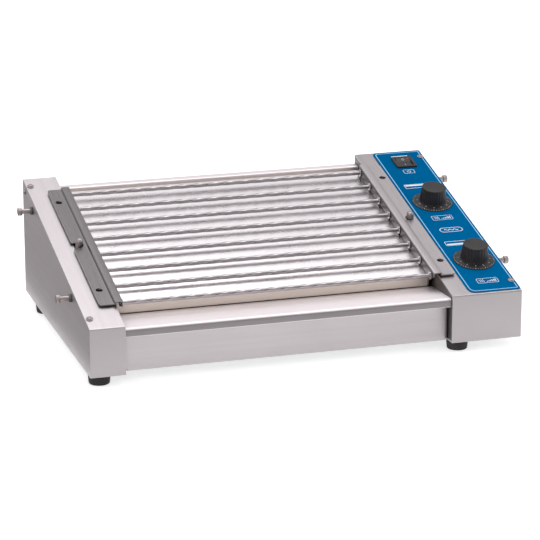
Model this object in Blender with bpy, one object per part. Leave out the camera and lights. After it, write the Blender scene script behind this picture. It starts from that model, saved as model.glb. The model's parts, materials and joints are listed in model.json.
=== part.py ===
"""Countertop hot dog grill with a sloping heated griddle and a reciprocating corral.

Two steel housings flank a heated griddle. A corral of rods lies over the griddle, on
studs that a gearmotor moves up and down the slope, so that it rolls the sausages.
Lengths are in metres. +X is right, +Y is back, +Z is up. The origin is the centre of
the footprint, cord included, on the surface that the grill stands on.
"""

import math

import bmesh
import bpy
from mathutils import Matrix, Vector

MM = 0.001

# Overall size
WIDTH = 527 * MM
DEPTH = 360 * MM
FRONT_HEIGHT = 58.1 * MM
BACK_HEIGHT = 146.3 * MM
FOOT_HEIGHT = 12 * MM
SLOPE = math.atan2(BACK_HEIGHT - FRONT_HEIGHT, DEPTH)
SLOPE_LENGTH = math.hypot(BACK_HEIGHT - FRONT_HEIGHT, DEPTH)

# Sheet metal
SHEET = 1.5 * MM
GAP = 0.3 * MM
BEND = 2 * MM
SIDE_FLANGE = 10 * MM
BASE_THICKNESS = 2 * MM
WALL_BOTTOM = 2.4 * MM

# Housings and the trough between them
LEFT_OUTER = -WIDTH / 2
RIGHT_OUTER = WIDTH / 2
LEFT_INNER = LEFT_OUTER + 42 * MM
RIGHT_INNER = RIGHT_OUTER - 88 * MM
TROUGH_CENTRE = (LEFT_INNER + RIGHT_INNER) / 2
HOUSINGS = {
    "left": (LEFT_OUTER, LEFT_INNER, -1),
    "right": (RIGHT_OUTER, RIGHT_INNER, 1),
}

# Front of the trough
PANEL_FRONT = 13 * MM
PANEL_TOP = 42.8 * MM
PANEL_RETURN = 14 * MM
DECK_NOSE = 3.2 * MM
DECK_NOSE_HEIGHT = 54.6 * MM
DECK_BACK = 69 * MM
DECK_BACK_HEIGHT = 51 * MM
DECK_HEM_HEIGHT = 43.4 * MM

# Rear of the trough
REAR_FLANGE_HEIGHT = 134 * MM
REAR_FLANGE_DEPTH = 16 * MM
REAR_LIP_HEIGHT = 112 * MM

# Griddle, measured along the slope and up from the slope
GRIDDLE_TOP = -7 * MM
GRIDDLE_FRONT = 66 * MM
GRIDDLE_BACK = 340 * MM
GRIDDLE_SKIRT = 15.5 * MM
GRIDDLE_PLATE = 3 * MM
GRIDDLE_CORNER = 4 * MM
GRIDDLE_SIDE_GAP = 3.2 * MM
SHIELD_DEPTH = 18 * MM
ELEMENT_RADIUS = 3.2 * MM
ELEMENT_LEG = 30 * MM
ELEMENT_EXIT_SPAN = 68 * MM
ELEMENTS = {"front": (78 * MM, 1), "rear": (324 * MM, -1)}
BULB_RADIUS = 3 * MM

# Corral: two rails and the rods between them
ROD_COUNT = 8
ROD_PITCH = 38.1 * MM
ROD_FRONT = 54.6 * MM
ROD_HEIGHT = -1.5 * MM
ROD_RADIUS = 3 * MM
ROD_END_RADIUS = 2.5 * MM
ROD_SPIGOT_RADIUS = 2 * MM
WASHER_RADIUS = 4.9 * MM
WASHER_THICKNESS = 1.2 * MM
RAIL_CENTRE = 187.2 * MM
RAIL_LENGTH = 283 * MM
RAIL_OUTER = 218.5 * MM
RAIL_RISER = 201.05 * MM
RAIL_INNER = 190.3 * MM
RAIL_LOW = 2 * MM
RAIL_STEP = 3 * MM
RAIL_HANG = -6.3 * MM
RAIL_CORNER = 4 * MM
RAIL_CHAMFER = (8.8 * MM, 6.8 * MM)
NOTCH_WIDTH = 13.4 * MM
NOTCH_END = 204.3 * MM
NOTCH_MOUTH = 3 * MM
RAIL_HOLE_RADIUS = 4.3 * MM
RAIL_HOLE_FROM_CENTRE = 210.9 * MM
RAIL_HOLE_SPREAD = 108 * MM

# Drive: studs on blocks that slide up the slope, moved by rocker arms and a crank
STROKE = 25.4 * MM
STUD_FROM_CENTRE = 210 * MM
STUD_RADIUS = 4.5 * MM
STUD_TOP = 12.5 * MM
BLOCK_LENGTH = 24 * MM
BLOCK_WIDTH = 15 * MM
BLOCK_TOP = -3.5 * MM
BLOCK_BOTTOM = -23.5 * MM
GUIDE_HEIGHT = -15 * MM
GUIDE_RADIUS = 4 * MM
GUIDE_LENGTH = 96 * MM
GUIDE_STRIP = 16 * MM
GUIDE_TAB_REACH = 7 * MM
GUIDE_TAB = 2 * MM
PIN_RADIUS = 3 * MM
PIN_LENGTH = 9 * MM
ARM_LENGTH = 65 * MM
ARM_THICKNESS = 4 * MM
ARM_WIDTH = 17 * MM
ARM_FROM_CENTRE = 222.5 * MM
FORK_CLEARANCE = 0.4 * MM
SHAFT_RADIUS = 5 * MM
SHAFT_LEFT = LEFT_OUTER + 12 * MM
SHAFT_RIGHT = TROUGH_CENTRE + 228 * MM
BEARING_RADIUS = 8 * MM
ROCKER_PLACE = RAIL_CENTRE + STROKE / 2
ROCKER_HEIGHT = GUIDE_HEIGHT - ARM_LENGTH
ROCKER_TILT = math.atan2(STROKE / 2, ARM_LENGTH)
CRANK_DISTANCE = 30 * MM
CRANK_THROW = CRANK_DISTANCE * math.tan(ROCKER_TILT)
CRANK_PIN_RADIUS = 2.5 * MM
CRANK_SLOT_CLEARANCE = 1.3 * MM
CRANK_DISC_RADIUS = 10 * MM
CRANK_DISC = 4 * MM
MOTOR_SHAFT_RADIUS = 3 * MM
GEARBOX_FACE = 8.5 * MM
GEARBOX_SIZE = (46 * MM, 44 * MM)
GEARBOX_DEPTH = 20 * MM
MOTOR_RADIUS = 19 * MM
MOTOR_LENGTH = 25 * MM
MOTOR_FOOT = (18 * MM, 40 * MM)
MOTOR_PLATE = 2 * MM

# Controls on the right housing
LABEL_LEFT = 198 * MM
LABEL_RIGHT = 263.2 * MM
LABEL_FRONT = 3.2 * MM
LABEL_BACK = 367 * MM
LABEL_BOTTOM = GAP
LABEL_TOP = 0.7 * MM
CONTROL_X = 231.1 * MM
KNOB_PLACES = {"front": 78 * MM, "rear": 226.4 * MM}
KNOB_SKIRT_RADIUS = 25.4 * MM
KNOB_SKIRT_BOTTOM = 1 * MM
KNOB_SKIRT_EDGE = 0.8 * MM
KNOB_SKIRT_TOP = 3.6 * MM
KNOB_BASE_RADIUS = 16.6 * MM
KNOB_TOP_RADIUS = 15.2 * MM
KNOB_TOP = 22.8 * MM
KNOB_BORE_TOP = 15 * MM
THERMOSTAT_SHAFT = 3 * MM
THERMOSTAT_SIZE = 32 * MM
THERMOSTAT_DEPTH = 22 * MM
SWITCH_PLACE = 334.8 * MM
SWITCH_BEZEL = (27 * MM, 27.5 * MM)
SWITCH_BODY = (23 * MM, 23.5 * MM)
SWITCH_POCKET = (20 * MM, 20.6 * MM)
SWITCH_HEIGHT = 2.4 * MM
SWITCH_TILT = math.radians(8)

# Fasteners, studs, feet and cord
SCREW_HEAD_RADIUS = 4.2 * MM
SCREW_RADIUS = 2 * MM
SCREW_INSET = 5.3 * MM
SCREW_PLACES = {"front": 22.8 * MM, "rear": 348 * MM}
SIDE_SCREW = (344.8 * MM, 133 * MM)
GUARD_STUDS = {"front": (92.3 * MM, 68.7 * MM), "rear": (303.5 * MM, 119.2 * MM)}
GUARD_STUD_LENGTH = 18.5 * MM
GUARD_SHANK_RADIUS = 3.15 * MM
GUARD_HEAD_RADIUS = 4.85 * MM
FOOT_TOP_RADIUS = 13.3 * MM
FOOT_BOTTOM_RADIUS = 12.2 * MM
FOOT_Y = {"front": 17 * MM, "rear": 302 * MM}
FOOT_X = {"left": LEFT_OUTER + 14 * MM, "right": RIGHT_INNER + 13 * MM}
CORD_RADIUS = 3.8 * MM
CORD_X = 236 * MM
CORD_HEIGHT = 32 * MM
CORD_START = 330 * MM
PLUG_BEHIND = 30 * MM
PLUG_RADIUS = 9.5 * MM
FRONT_Y = -(DEPTH + PLUG_BEHIND + PLUG_RADIUS) / 2

# Finishes: colour, roughness and metallic value
FINISHES = {
    "brushed": ((0.62, 0.60, 0.59), 0.38, 1.0),
    "polished": ((0.78, 0.77, 0.76), 0.12, 1.0),
    "bright": ((0.70, 0.69, 0.68), 0.2, 1.0),
    "galvanised": ((0.48, 0.49, 0.50), 0.5, 1.0),
    "brass": ((0.72, 0.55, 0.25), 0.3, 1.0),
    "black_plastic": ((0.03, 0.03, 0.033), 0.45, 0.0),
    "rubber": ((0.02, 0.02, 0.02), 0.8, 0.0),
    "nylon": ((0.75, 0.73, 0.68), 0.5, 0.0),
    "label_blue": ((0.0, 0.11, 0.33), 0.4, 0.0),
    "mineral_wool": ((0.62, 0.56, 0.42), 0.95, 0.0),
    "motor_grey": ((0.2, 0.21, 0.22), 0.5, 0.6),
    "element": ((0.25, 0.22, 0.2), 0.45, 0.9),
}


# ---------------------------------------------------------------- objects

def clear_scene():
    for thing in list(bpy.data.objects):
        bpy.data.objects.remove(thing, do_unlink=True)


def own_material(name, finish):
    colour, roughness, metallic = FINISHES[finish]
    material = bpy.data.materials.new(name + "_finish")
    material.use_nodes = True
    surface = material.node_tree.nodes["Principled BSDF"]
    surface.inputs["Base Color"].default_value = (*colour, 1)
    surface.inputs["Roughness"].default_value = roughness
    surface.inputs["Metallic"].default_value = metallic
    return material


def axes(name, location, rotation=(0, 0, 0), parent=None):
    """An empty that carries the pieces built in its own coordinates."""
    empty = bpy.data.objects.new(name, None)
    empty.location = location
    empty.rotation_euler = rotation
    empty.parent = parent
    bpy.context.scene.collection.objects.link(empty)
    return empty


def made(name, bm, parent, finish=None, smooth=False):
    """The object of a bmesh. With no finish it is a cutter or a piece to be joined."""
    bmesh.ops.recalc_face_normals(bm, faces=bm.faces)
    mesh = bpy.data.meshes.new(name)
    bm.to_mesh(mesh)
    bm.free()
    thing = bpy.data.objects.new(name, mesh)
    thing.parent = parent
    bpy.context.scene.collection.objects.link(thing)
    if finish:
        mesh.materials.append(own_material(name, finish))
    else:
        thing.hide_render = True
        thing.display_type = "WIRE"
    if smooth:
        mesh.shade_smooth()
        mesh.set_sharp_from_angle(angle=math.radians(35))
    return thing


def combine(target, operation, others):
    for other in others:
        modifier = target.modifiers.new(operation.title() + "_" + other.name, "BOOLEAN")
        modifier.operation = operation
        modifier.solver = "EXACT"
        modifier.object = other
    return target


def cut(target, *cutters):
    return combine(target, "DIFFERENCE", cutters)


def join(target, *others):
    return combine(target, "UNION", others)


# ---------------------------------------------------------------- outlines

def rounded(points, radii, steps=4, closed=True):
    """The outline with an arc of the given radius at each corner."""
    result = []
    last = len(points) - 1
    for i, point in enumerate(points):
        radius = radii[i] if isinstance(radii, (list, tuple)) else radii
        here = Vector(point)
        if radius == 0 or (not closed and i in (0, last)):
            result.append(here)
            continue
        to_last = (Vector(points[i - 1]) - here).normalized()
        to_next = (Vector(points[(i + 1) % len(points)]) - here).normalized()
        half = to_last.angle(to_next) / 2
        centre = here + (to_last + to_next).normalized() * radius / math.sin(half)
        start = here + to_last * radius / math.tan(half) - centre
        end = here + to_next * radius / math.tan(half) - centre
        turn = -start.angle_signed(end)
        for k in range(steps + 1):
            result.append(centre + Matrix.Rotation(turn * k / steps, 2) @ start)
    return result


def rectangle(centre, size):
    (x, y), (w, d) = centre, size
    return [
        (x - w / 2, y - d / 2),
        (x + w / 2, y - d / 2),
        (x + w / 2, y + d / 2),
        (x - w / 2, y + d / 2),
    ]


def sheet(path, thickness=SHEET):
    """The outline of a bent sheet whose one face follows the path."""
    path = [Vector(point) for point in path]
    runs = [(b - a).normalized() for a, b in zip(path, path[1:])]
    across = [Vector((run.y, -run.x)) for run in runs]
    across = [across[0], *across, across[-1]]
    other_face = []
    for point, before, after in zip(path, across, across[1:]):
        middle = (before + after).normalized()
        other_face.append(point + middle * thickness / middle.dot(before))
    return path + other_face[::-1]


def roof(y):
    """Height of the sloping top at a distance from the front."""
    return FRONT_HEIGHT + y * math.tan(SLOPE)


def wedge(inset, bottom=0.0):
    """Side view of the housing, inset on its front, top and rear."""
    drop = inset / math.cos(SLOPE)
    front, rear = inset, DEPTH - inset
    return [(front, bottom), (rear, bottom), (rear, roof(rear) - drop), (front, roof(front) - drop)]


# ---------------------------------------------------------------- solids

def placed(point, axis, distance):
    """An outline's point in 3-D, at a distance along the axis that it is extruded along."""
    a, b = point
    return {"X": (distance, a, b), "Y": (a, distance, b), "Z": (a, b, distance)}[axis]


def prism(name, outline, axis, start, end, parent, finish=None, smooth=False):
    bm = bmesh.new()
    face = bm.faces.new([bm.verts.new(placed(point, axis, start)) for point in outline])
    grown = bmesh.ops.extrude_face_region(bm, geom=[face])["geom"]
    moved = [item for item in grown if isinstance(item, bmesh.types.BMVert)]
    bmesh.ops.translate(bm, verts=moved, vec=placed((0, 0), axis, end - start))
    return made(name, bm, parent, finish, smooth)


def box(name, low, high, parent, finish=None):
    centre = [(a + b) / 2 for a, b in zip(low, high)]
    size = [b - a for a, b in zip(low, high)]
    outline = rectangle(centre[:2], size[:2])
    return prism(name, outline, "Z", low[2], high[2], parent, finish)


def add_turned(bm, profile, centre, axis, sides):
    """Adds a round solid. The profile holds (distance along the axis, radius) pairs."""
    along = Vector(placed((0, 0), axis, 1))
    out = Vector(placed((0, 1), axis, 0))
    points = [Vector(centre) + along * t + out * r for t, r in profile]
    verts = [bm.verts.new(point) for point in points]
    edges = [bm.edges.new(pair) for pair in zip(verts, verts[1:])]
    bmesh.ops.spin(
        bm,
        geom=verts + edges,
        cent=centre,
        axis=along,
        angle=2 * math.pi,
        steps=sides,
        use_merge=True,
    )
    bmesh.ops.remove_doubles(bm, verts=bm.verts, dist=0.001 * MM)


def turned(name, profile, centre, axis, parent, finish=None, sides=20):
    bm = bmesh.new()
    add_turned(bm, profile, centre, axis, sides)
    return made(name, bm, parent, finish, smooth=True)


def drum(name, centre, axis, start, end, radius, parent, finish=None, sides=16):
    profile = [(start, 0), (start, radius), (end, radius), (end, 0)]
    return turned(name, profile, centre, axis, parent, finish, sides)


def drums(name, centres, axis, start, end, radius, parent, sides=16):
    """One cutter that holds a cylinder at each centre."""
    bm = bmesh.new()
    for centre in centres:
        add_turned(bm, [(start, 0), (start, radius), (end, radius), (end, 0)], centre, axis, sides)
    return made(name, bm, parent)


def smooth_path(points, steps=3):
    """Points along a Catmull-Rom curve through the given points."""
    points = [Vector(point) for point in points]
    points = [2 * points[0] - points[1], *points, 2 * points[-1] - points[-2]]
    path = []
    for a, b, c, d in zip(points, points[1:], points[2:], points[3:]):
        for k in range(steps):
            t = k / steps
            path.append(
                0.5 * (2 * b + (c - a) * t + (2 * a - 5 * b + 4 * c - d) * t**2
                       + (3 * b - a - 3 * c + d) * t**3)
            )
    return [*path, points[-2]]


def tube(name, path, radius, parent, finish=None, sides=8):
    """A round bar that follows the path, with flat ends."""
    bm = bmesh.new()
    path = [Vector(point) for point in path]
    runs = [(b - a).normalized() for a, b in zip(path, path[1:])]
    tangents = [runs[0], *((a + b).normalized() for a, b in zip(runs, runs[1:])), runs[-1]]
    out = tangents[0].orthogonal().normalized()
    rings = []
    for point, tangent in zip(path, tangents):
        out = (out - tangent * out.dot(tangent)).normalized()
        side = tangent.cross(out)
        angles = [2 * math.pi * k / sides for k in range(sides)]
        rings.append(
            [bm.verts.new(point + (out * math.cos(a) + side * math.sin(a)) * radius) for a in angles]
        )
    for ring, following in zip(rings, rings[1:]):
        for k in range(sides):
            m = (k + 1) % sides
            bm.faces.new((ring[k], ring[m], following[m], following[k]))
    bm.faces.new(rings[0][::-1])
    bm.faces.new(rings[-1])
    return made(name, bm, parent, finish, smooth=True)


# ---------------------------------------------------------------- housings

def screw_places(outer, side):
    return {end: (outer - side * SCREW_INSET, s) for end, s in SCREW_PLACES.items()}


def build_housing(name, body, slope):
    """The folded cover, the outer side panel and the inner wall of one housing."""
    outer, inner, side = HOUSINGS[name]
    inward = -side
    path = rounded([(0, 0), (0, FRONT_HEIGHT), (DEPTH, BACK_HEIGHT), (DEPTH, 0)], BEND, closed=False)
    cover = prism(name + "_top_cover", sheet(path), "X", outer, inner, body, "brushed")
    screws = [(x, s, 0) for x, s in screw_places(outer, side).values()]
    screw_holes = drums(name + "_screw_holes", screws, "Z", -6 * MM, 3 * MM,
                        SCREW_RADIUS + GAP, slope, sides=12)
    slot_size = (2 * STUD_RADIUS + 2 * MM, STROKE + 2 * STUD_RADIUS + 3 * MM)
    slot_centre = (TROUGH_CENTRE + side * STUD_FROM_CENTRE, RAIL_CENTRE + STROKE / 2)
    slot = prism(name + "_stud_slot", rounded(rectangle(slot_centre, slot_size), 0.49 * slot_size[0]),
                 "Z", -4 * MM, 3 * MM, slope)
    cut(cover, screw_holes, slot)

    inset = SHEET + GAP
    panel = prism(name + "_side_panel", wedge(inset), "X", outer, outer + inward * SIDE_FLANGE,
                  body, "brushed")
    hollow = prism(name + "_side_hollow", wedge(inset + SHEET, -5 * MM), "X",
                   outer + inward * SHEET, outer + inward * 2 * SIDE_FLANGE, body)
    side_places = [(outer, y, z) for y, z in GUARD_STUDS.values()]
    side_holes = drums(name + "_side_holes", side_places, "X", -5 * MM, 5 * MM,
                       GUARD_SHANK_RADIUS + GAP, body, sides=16)
    side_screw = drums(name + "_side_screw_hole", [(outer, *SIDE_SCREW)], "X", -5 * MM, 5 * MM,
                       SCREW_RADIUS + GAP, body, sides=12)
    cut(panel, hollow, side_holes, side_screw, screw_holes)

    wall = prism(name + "_inner_wall", wedge(inset, WALL_BOTTOM), "X", inner, inner - inward * SHEET,
                 body, "brushed")
    bearing = drums(name + "_bearing_hole", [(inner, ROCKER_PLACE, ROCKER_HEIGHT)], "X", -5 * MM,
                    5 * MM, BEARING_RADIUS + GAP, slope)
    cut(wall, bearing)
    return cover, wall


def build_base(body):
    """The floor plate, cut back behind the recessed front panel."""
    side = SHEET + GAP
    end = 2 * SHEET + 2 * GAP
    step = PANEL_FRONT + SHEET + GAP
    outline = [
        (LEFT_OUTER + side, end),
        (LEFT_INNER, end),
        (LEFT_INNER, step),
        (RIGHT_INNER, step),
        (RIGHT_INNER, end),
        (RIGHT_OUTER - side, end),
        (RIGHT_OUTER - side, DEPTH - end),
        (LEFT_OUTER + side, DEPTH - end),
    ]
    prism("base_plate", outline, "Z", 0, BASE_THICKNESS, body, "galvanised")


def build_trough_ends(body):
    """Front panel, front deck with its rolled nose, and rear panel."""
    left, right = LEFT_INNER + GAP, RIGHT_INNER - GAP
    back = PANEL_FRONT + PANEL_RETURN
    path = [(right, back), (right, PANEL_FRONT), (left, PANEL_FRONT), (left, back)]
    outline = sheet(rounded(path, 3.5 * MM, closed=False))
    panel = prism("front_panel", outline, "Z", WALL_BOTTOM, PANEL_TOP, body, "brushed")
    lip = box("front_panel_lip", (left + 4 * MM, PANEL_FRONT, 0.3 * MM),
              (right - 4 * MM, PANEL_FRONT + SHEET, 3 * MM), body)
    join(panel, lip)

    path = [
        (DECK_BACK, DECK_BACK_HEIGHT),
        (DECK_NOSE, DECK_NOSE_HEIGHT),
        (DECK_NOSE, DECK_HEM_HEIGHT),
        (PANEL_FRONT - 1 * MM, DECK_HEM_HEIGHT),
    ]
    outline = sheet(rounded(path, [0, 3.6 * MM, 2 * MM, 0], closed=False), -SHEET)
    prism("front_deck", outline, "X", left, right, body, "brushed", smooth=True)

    wall = DEPTH - REAR_FLANGE_DEPTH
    path = [(DEPTH, WALL_BOTTOM), (DEPTH, REAR_FLANGE_HEIGHT), (wall, REAR_FLANGE_HEIGHT),
            (wall, REAR_LIP_HEIGHT)]
    outline = sheet(rounded(path, BEND, closed=False), -SHEET)
    prism("rear_panel", outline, "X", left, right, body, "brushed")


# ---------------------------------------------------------------- griddle

def build_griddle(slope, right_wall):
    left, right = LEFT_INNER + GRIDDLE_SIDE_GAP, RIGHT_INNER - GRIDDLE_SIDE_GAP
    bottom = GRIDDLE_TOP - GRIDDLE_SKIRT
    middle = ((left + right) / 2, (GRIDDLE_FRONT + GRIDDLE_BACK) / 2)
    size = (right - left, GRIDDLE_BACK - GRIDDLE_FRONT)
    outline = rounded(rectangle(middle, size), GRIDDLE_CORNER)
    plate = prism("griddle_plate", outline, "Z", bottom, GRIDDLE_TOP, slope, "polished", smooth=True)
    wall = 2 * MM
    inner_size = (size[0] - 2 * wall, size[1] - 2 * wall)
    hollow = prism("griddle_hollow", rounded(rectangle(middle, inner_size), GRIDDLE_CORNER - wall),
                   "Z", bottom - 5 * MM, GRIDDLE_TOP - GRIDDLE_PLATE, slope)

    height = GRIDDLE_TOP - GRIDDLE_PLATE - GAP - ELEMENT_RADIUS
    passages = []
    for name, (start, way) in ELEMENTS.items():
        for s in (start, start + way * ELEMENT_EXIT_SPAN, bulb_place(name)):
            passages.append((RIGHT_INNER, s, height))
    ports = drums("element_ports", passages, "X", -8 * MM, 4 * MM, ELEMENT_RADIUS + 3 * GAP,
                  slope, sides=12)
    cut(plate, hollow, ports)
    cut(right_wall, ports)

    for name, (start, way) in ELEMENTS.items():
        build_element(name + "_heating_element", start, way, height, left, slope)
    build_shield(left, right, bottom, slope)
    return height


def bulb_place(name):
    """Distance up the slope of a thermostat's bulb, midway between its element's legs."""
    start, way = ELEMENTS[name]
    return start + way * 1.5 * ELEMENT_LEG


def build_element(name, start, way, height, left, slope):
    """A tubular element of four legs. Its last leg jogs clear of the slide guide to its exit."""
    turn = ELEMENT_LEG / 2
    near, middle, far = RIGHT_INNER - 40 * MM, RIGHT_INNER - 130 * MM, left + 30 * MM
    outside, inside = RIGHT_INNER + 14 * MM, RIGHT_INNER - 12 * MM
    path = [(outside, start, height), (near, start, height)]
    for leg, (x, bulge) in enumerate(((far, -1), (middle, 1), (far, -1))):
        for k in range(7):
            angle = math.pi * k / 6
            s = start + way * (leg * ELEMENT_LEG + turn - turn * math.cos(angle))
            path.append((x + bulge * turn * math.sin(angle), s, height))
    path.append((near, start + way * 3 * ELEMENT_LEG, height))
    path.append((inside, start + way * ELEMENT_EXIT_SPAN, height))
    path.append((outside, start + way * ELEMENT_EXIT_SPAN, height))
    tube(name, path, ELEMENT_RADIUS, slope, "element", sides=6)


def build_shield(left, right, top, slope):
    """A tray under the griddle that holds its insulation."""
    high, low = top - GAP, top - GAP - SHIELD_DEPTH
    front, back = GRIDDLE_FRONT + 14 * MM, GRIDDLE_BACK - 4 * MM
    tray = box("heat_shield", (left, front, low), (right, back, high), slope, "galvanised")
    hollow = box("shield_hollow", (left + SHEET, front + SHEET, low + SHEET),
                 (right - SHEET, back - SHEET, high + 5 * MM), slope)
    cut(tray, hollow)
    edge = SHEET + 1 * MM
    box("insulation_pad", (left + edge, front + edge, low + SHEET + GAP),
        (right - edge, back - edge, high - 1 * MM), slope, "mineral_wool")


# ---------------------------------------------------------------- drive

def build_drive_block(name, side, slope):
    """A block with the stud that carries the corral, a bore for its guide and a fork pin."""
    stud = axes(name + "_stud_axes", (TROUGH_CENTRE + side * STUD_FROM_CENTRE, RAIL_CENTRE, 0),
                parent=slope)
    half = BLOCK_WIDTH / 2
    block = box(name + "_drive_block", (-half, -BLOCK_LENGTH / 2, BLOCK_BOTTOM),
                (half, BLOCK_LENGTH / 2, BLOCK_TOP), stud, "bright")
    dome = STUD_RADIUS * 0.6
    profile = [(BLOCK_TOP - 4 * MM, 0), (BLOCK_TOP - 4 * MM, STUD_RADIUS)]
    for k in range(5):
        angle = math.pi / 2 * k / 4
        profile.append((STUD_TOP - dome + dome * math.sin(angle), STUD_RADIUS * math.cos(angle)))
    post = turned(name + "_stud", profile, (0, 0, 0), "Z", stud, sides=20)
    reach = (half - 1 * MM, half + PIN_LENGTH)
    pin = drum(name + "_fork_pin", (0, 0, GUIDE_HEIGHT), "X", side * reach[0], side * reach[1],
               PIN_RADIUS, stud, sides=20)
    bore = drum(name + "_block_bore", (0, 0, GUIDE_HEIGHT), "Y", -BLOCK_LENGTH, BLOCK_LENGTH,
                GUIDE_RADIUS + GAP, stud)
    join(block, post, pin)
    cut(block, bore)


def build_slide_guide(name, side, slope):
    """A round bar between two tabs, on a strip fixed to the housing's inner wall."""
    guide = axes(name + "_guide_axes",
                 (TROUGH_CENTRE + side * STUD_FROM_CENTRE, ROCKER_PLACE, GUIDE_HEIGHT), parent=slope)
    _, inner, _ = HOUSINGS[name]
    wall = inner + side * (SHEET + GAP) - (TROUGH_CENTRE + side * STUD_FROM_CENTRE)
    half, tall = GUIDE_LENGTH / 2, GUIDE_STRIP / 2
    strip = box(name + "_slide_guide", (min(wall, wall + side * SHEET), -half, -tall),
                (max(wall, wall + side * SHEET), half, tall), guide, "galvanised")
    reach = side * GUIDE_TAB_REACH
    tabs = []
    for end in (-1, 1):
        near, far = end * half, end * (half - GUIDE_TAB)
        low = (min(wall, reach), min(near, far), -tall)
        high = (max(wall, reach), max(near, far), tall)
        tabs.append(box(name + f"_guide_tab_{end}", low, high, guide))
    bar = drum(name + "_guide_bar", (0, 0, 0), "Y", -half + 1 * MM, half - 1 * MM,
               GUIDE_RADIUS, guide)
    join(strip, *tabs, bar)


def build_rocker(slope):
    """The cross shaft with a forked arm in each housing. The right arm has the crank's slot."""
    pivot = axes("rocker_pivot", (0, ROCKER_PLACE, ROCKER_HEIGHT), (ROCKER_TILT, 0, 0), slope)
    drum("cross_shaft", (0, 0, 0), "X", SHAFT_LEFT, SHAFT_RIGHT, SHAFT_RADIUS, pivot, "bright")
    for name, (_, _, side) in HOUSINGS.items():
        centre = TROUGH_CENTRE + side * ARM_FROM_CENTRE
        low, high = centre - ARM_THICKNESS / 2, centre + ARM_THICKNESS / 2
        half = ARM_WIDTH / 2
        tip = ARM_LENGTH + 7 * MM
        outline = rounded([(-half, -10 * MM), (half, -10 * MM), (half, tip), (-half, tip)], 3 * MM)
        arm = prism(name + "_rocker_arm", outline, "X", low, high, pivot, "galvanised")
        slot = PIN_RADIUS + FORK_CLEARANCE
        fork = prism(name + "_fork_slot", rectangle((0, ARM_LENGTH + 5 * MM), (2 * slot, 24 * MM)),
                     "X", low - 1 * MM, high + 1 * MM, pivot)
        hole = drum(name + "_arm_hole", (centre, 0, 0), "X", -10 * MM, 10 * MM,
                    SHAFT_RADIUS + GAP, pivot)
        cut(arm, fork, hole)
        if side > 0:
            half_slot = CRANK_PIN_RADIUS + CRANK_SLOT_CLEARANCE
            length = 2 * (CRANK_THROW + half_slot)
            outline = rounded(rectangle((0, CRANK_DISTANCE), (2 * half_slot, length)), half_slot * 0.98)
            cut(arm, prism("crank_slot", outline, "X", low - 1 * MM, high + 1 * MM, pivot))


def build_bearings(slope):
    """A flanged bush in each inner wall."""
    for name, (_, inner, side) in HOUSINGS.items():
        flange = side * (SHEET + GAP)
        turned(
            name + "_shaft_bearing",
            [
                (side * -2 * MM, SHAFT_RADIUS + GAP),
                (side * -2 * MM, BEARING_RADIUS),
                (flange, BEARING_RADIUS),
                (flange, BEARING_RADIUS + 4 * MM),
                (flange + side * 2.5 * MM, BEARING_RADIUS + 4 * MM),
                (flange + side * 2.5 * MM, SHAFT_RADIUS + GAP),
                (side * -2 * MM, SHAFT_RADIUS + GAP),
            ],
            (inner, ROCKER_PLACE, ROCKER_HEIGHT), "X", slope, "nylon",
        )


def build_crank(slope):
    """A disc with an eccentric pin, on the gearmotor's shaft."""
    arm_face = TROUGH_CENTRE + ARM_FROM_CENTRE + ARM_THICKNESS / 2
    place = ROCKER_HEIGHT + CRANK_DISTANCE
    pivot = axes("crank_pivot", (arm_face, ROCKER_PLACE, place), (math.pi / 2, 0, 0), slope)
    crank = drum("crank", (0, 0, 0), "X", 2 * MM, 2 * MM + CRANK_DISC, CRANK_DISC_RADIUS, pivot,
                 "bright")
    pin = drum("crank_pin", (0, 0, CRANK_THROW), "X", -ARM_THICKNESS - 1 * MM, 3 * MM,
               CRANK_PIN_RADIUS, pivot, sides=16)
    bore = drum("crank_bore", (0, 0, 0), "X", 3.5 * MM, 12 * MM, MOTOR_SHAFT_RADIUS + GAP, pivot,
                sides=16)
    join(crank, pin)
    cut(crank, bore)
    return arm_face


def build_gearmotor(body, arm_face):
    """Gearbox, motor can and mounting foot as one bought unit."""
    height = ROCKER_HEIGHT + CRANK_DISTANCE
    y = ROCKER_PLACE * math.cos(SLOPE) - height * math.sin(SLOPE)
    z = FRONT_HEIGHT + ROCKER_PLACE * math.sin(SLOPE) + height * math.cos(SLOPE)
    pivot = axes("gearmotor_axes", (arm_face, y, z), parent=body)
    face, back = GEARBOX_FACE, GEARBOX_FACE + GEARBOX_DEPTH
    gearbox = prism("gearmotor", rounded(rectangle((0, 0), GEARBOX_SIZE), 4 * MM), "X",
                    face, back, pivot, "motor_grey")
    shaft = drum("gearmotor_shaft", (0, 0, 0), "X", 4 * MM, face + 2 * MM, MOTOR_SHAFT_RADIUS,
                 pivot, sides=16)
    can = drum("motor_can", (0, -1 * MM, -2 * MM), "X", back - 1 * MM, back + MOTOR_LENGTH,
               MOTOR_RADIUS, pivot)
    floor = BASE_THICKNESS + GAP - z
    reach, half = MOTOR_FOOT[0], MOTOR_FOOT[1] / 2
    leg = box("motor_leg", (face, -half, floor), (face + MOTOR_PLATE, half, -15 * MM), pivot)
    foot = box("motor_foot", (face, -half, floor), (face + reach, half, floor + MOTOR_PLATE), pivot)
    join(gearbox, shaft, can, leg, foot)


# ---------------------------------------------------------------- corral

def rail_plan(side):
    """The rail seen square to the slope: rounded outer corners and the stud's open notch."""
    outer, half = RAIL_OUTER, RAIL_LENGTH / 2
    notch, inside = NOTCH_WIDTH / 2, RAIL_INNER - 1 * MM
    points = [(inside, -half), (outer, -half), (outer, -notch), (NOTCH_END, -notch),
              (NOTCH_END, notch), (outer, notch), (outer, half), (inside, half)]
    radii = [0, RAIL_CORNER, NOTCH_MOUTH, notch * 0.95, notch * 0.95, NOTCH_MOUTH, RAIL_CORNER, 0]
    return [(side * x, s) for x, s in rounded(points, radii)]


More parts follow.
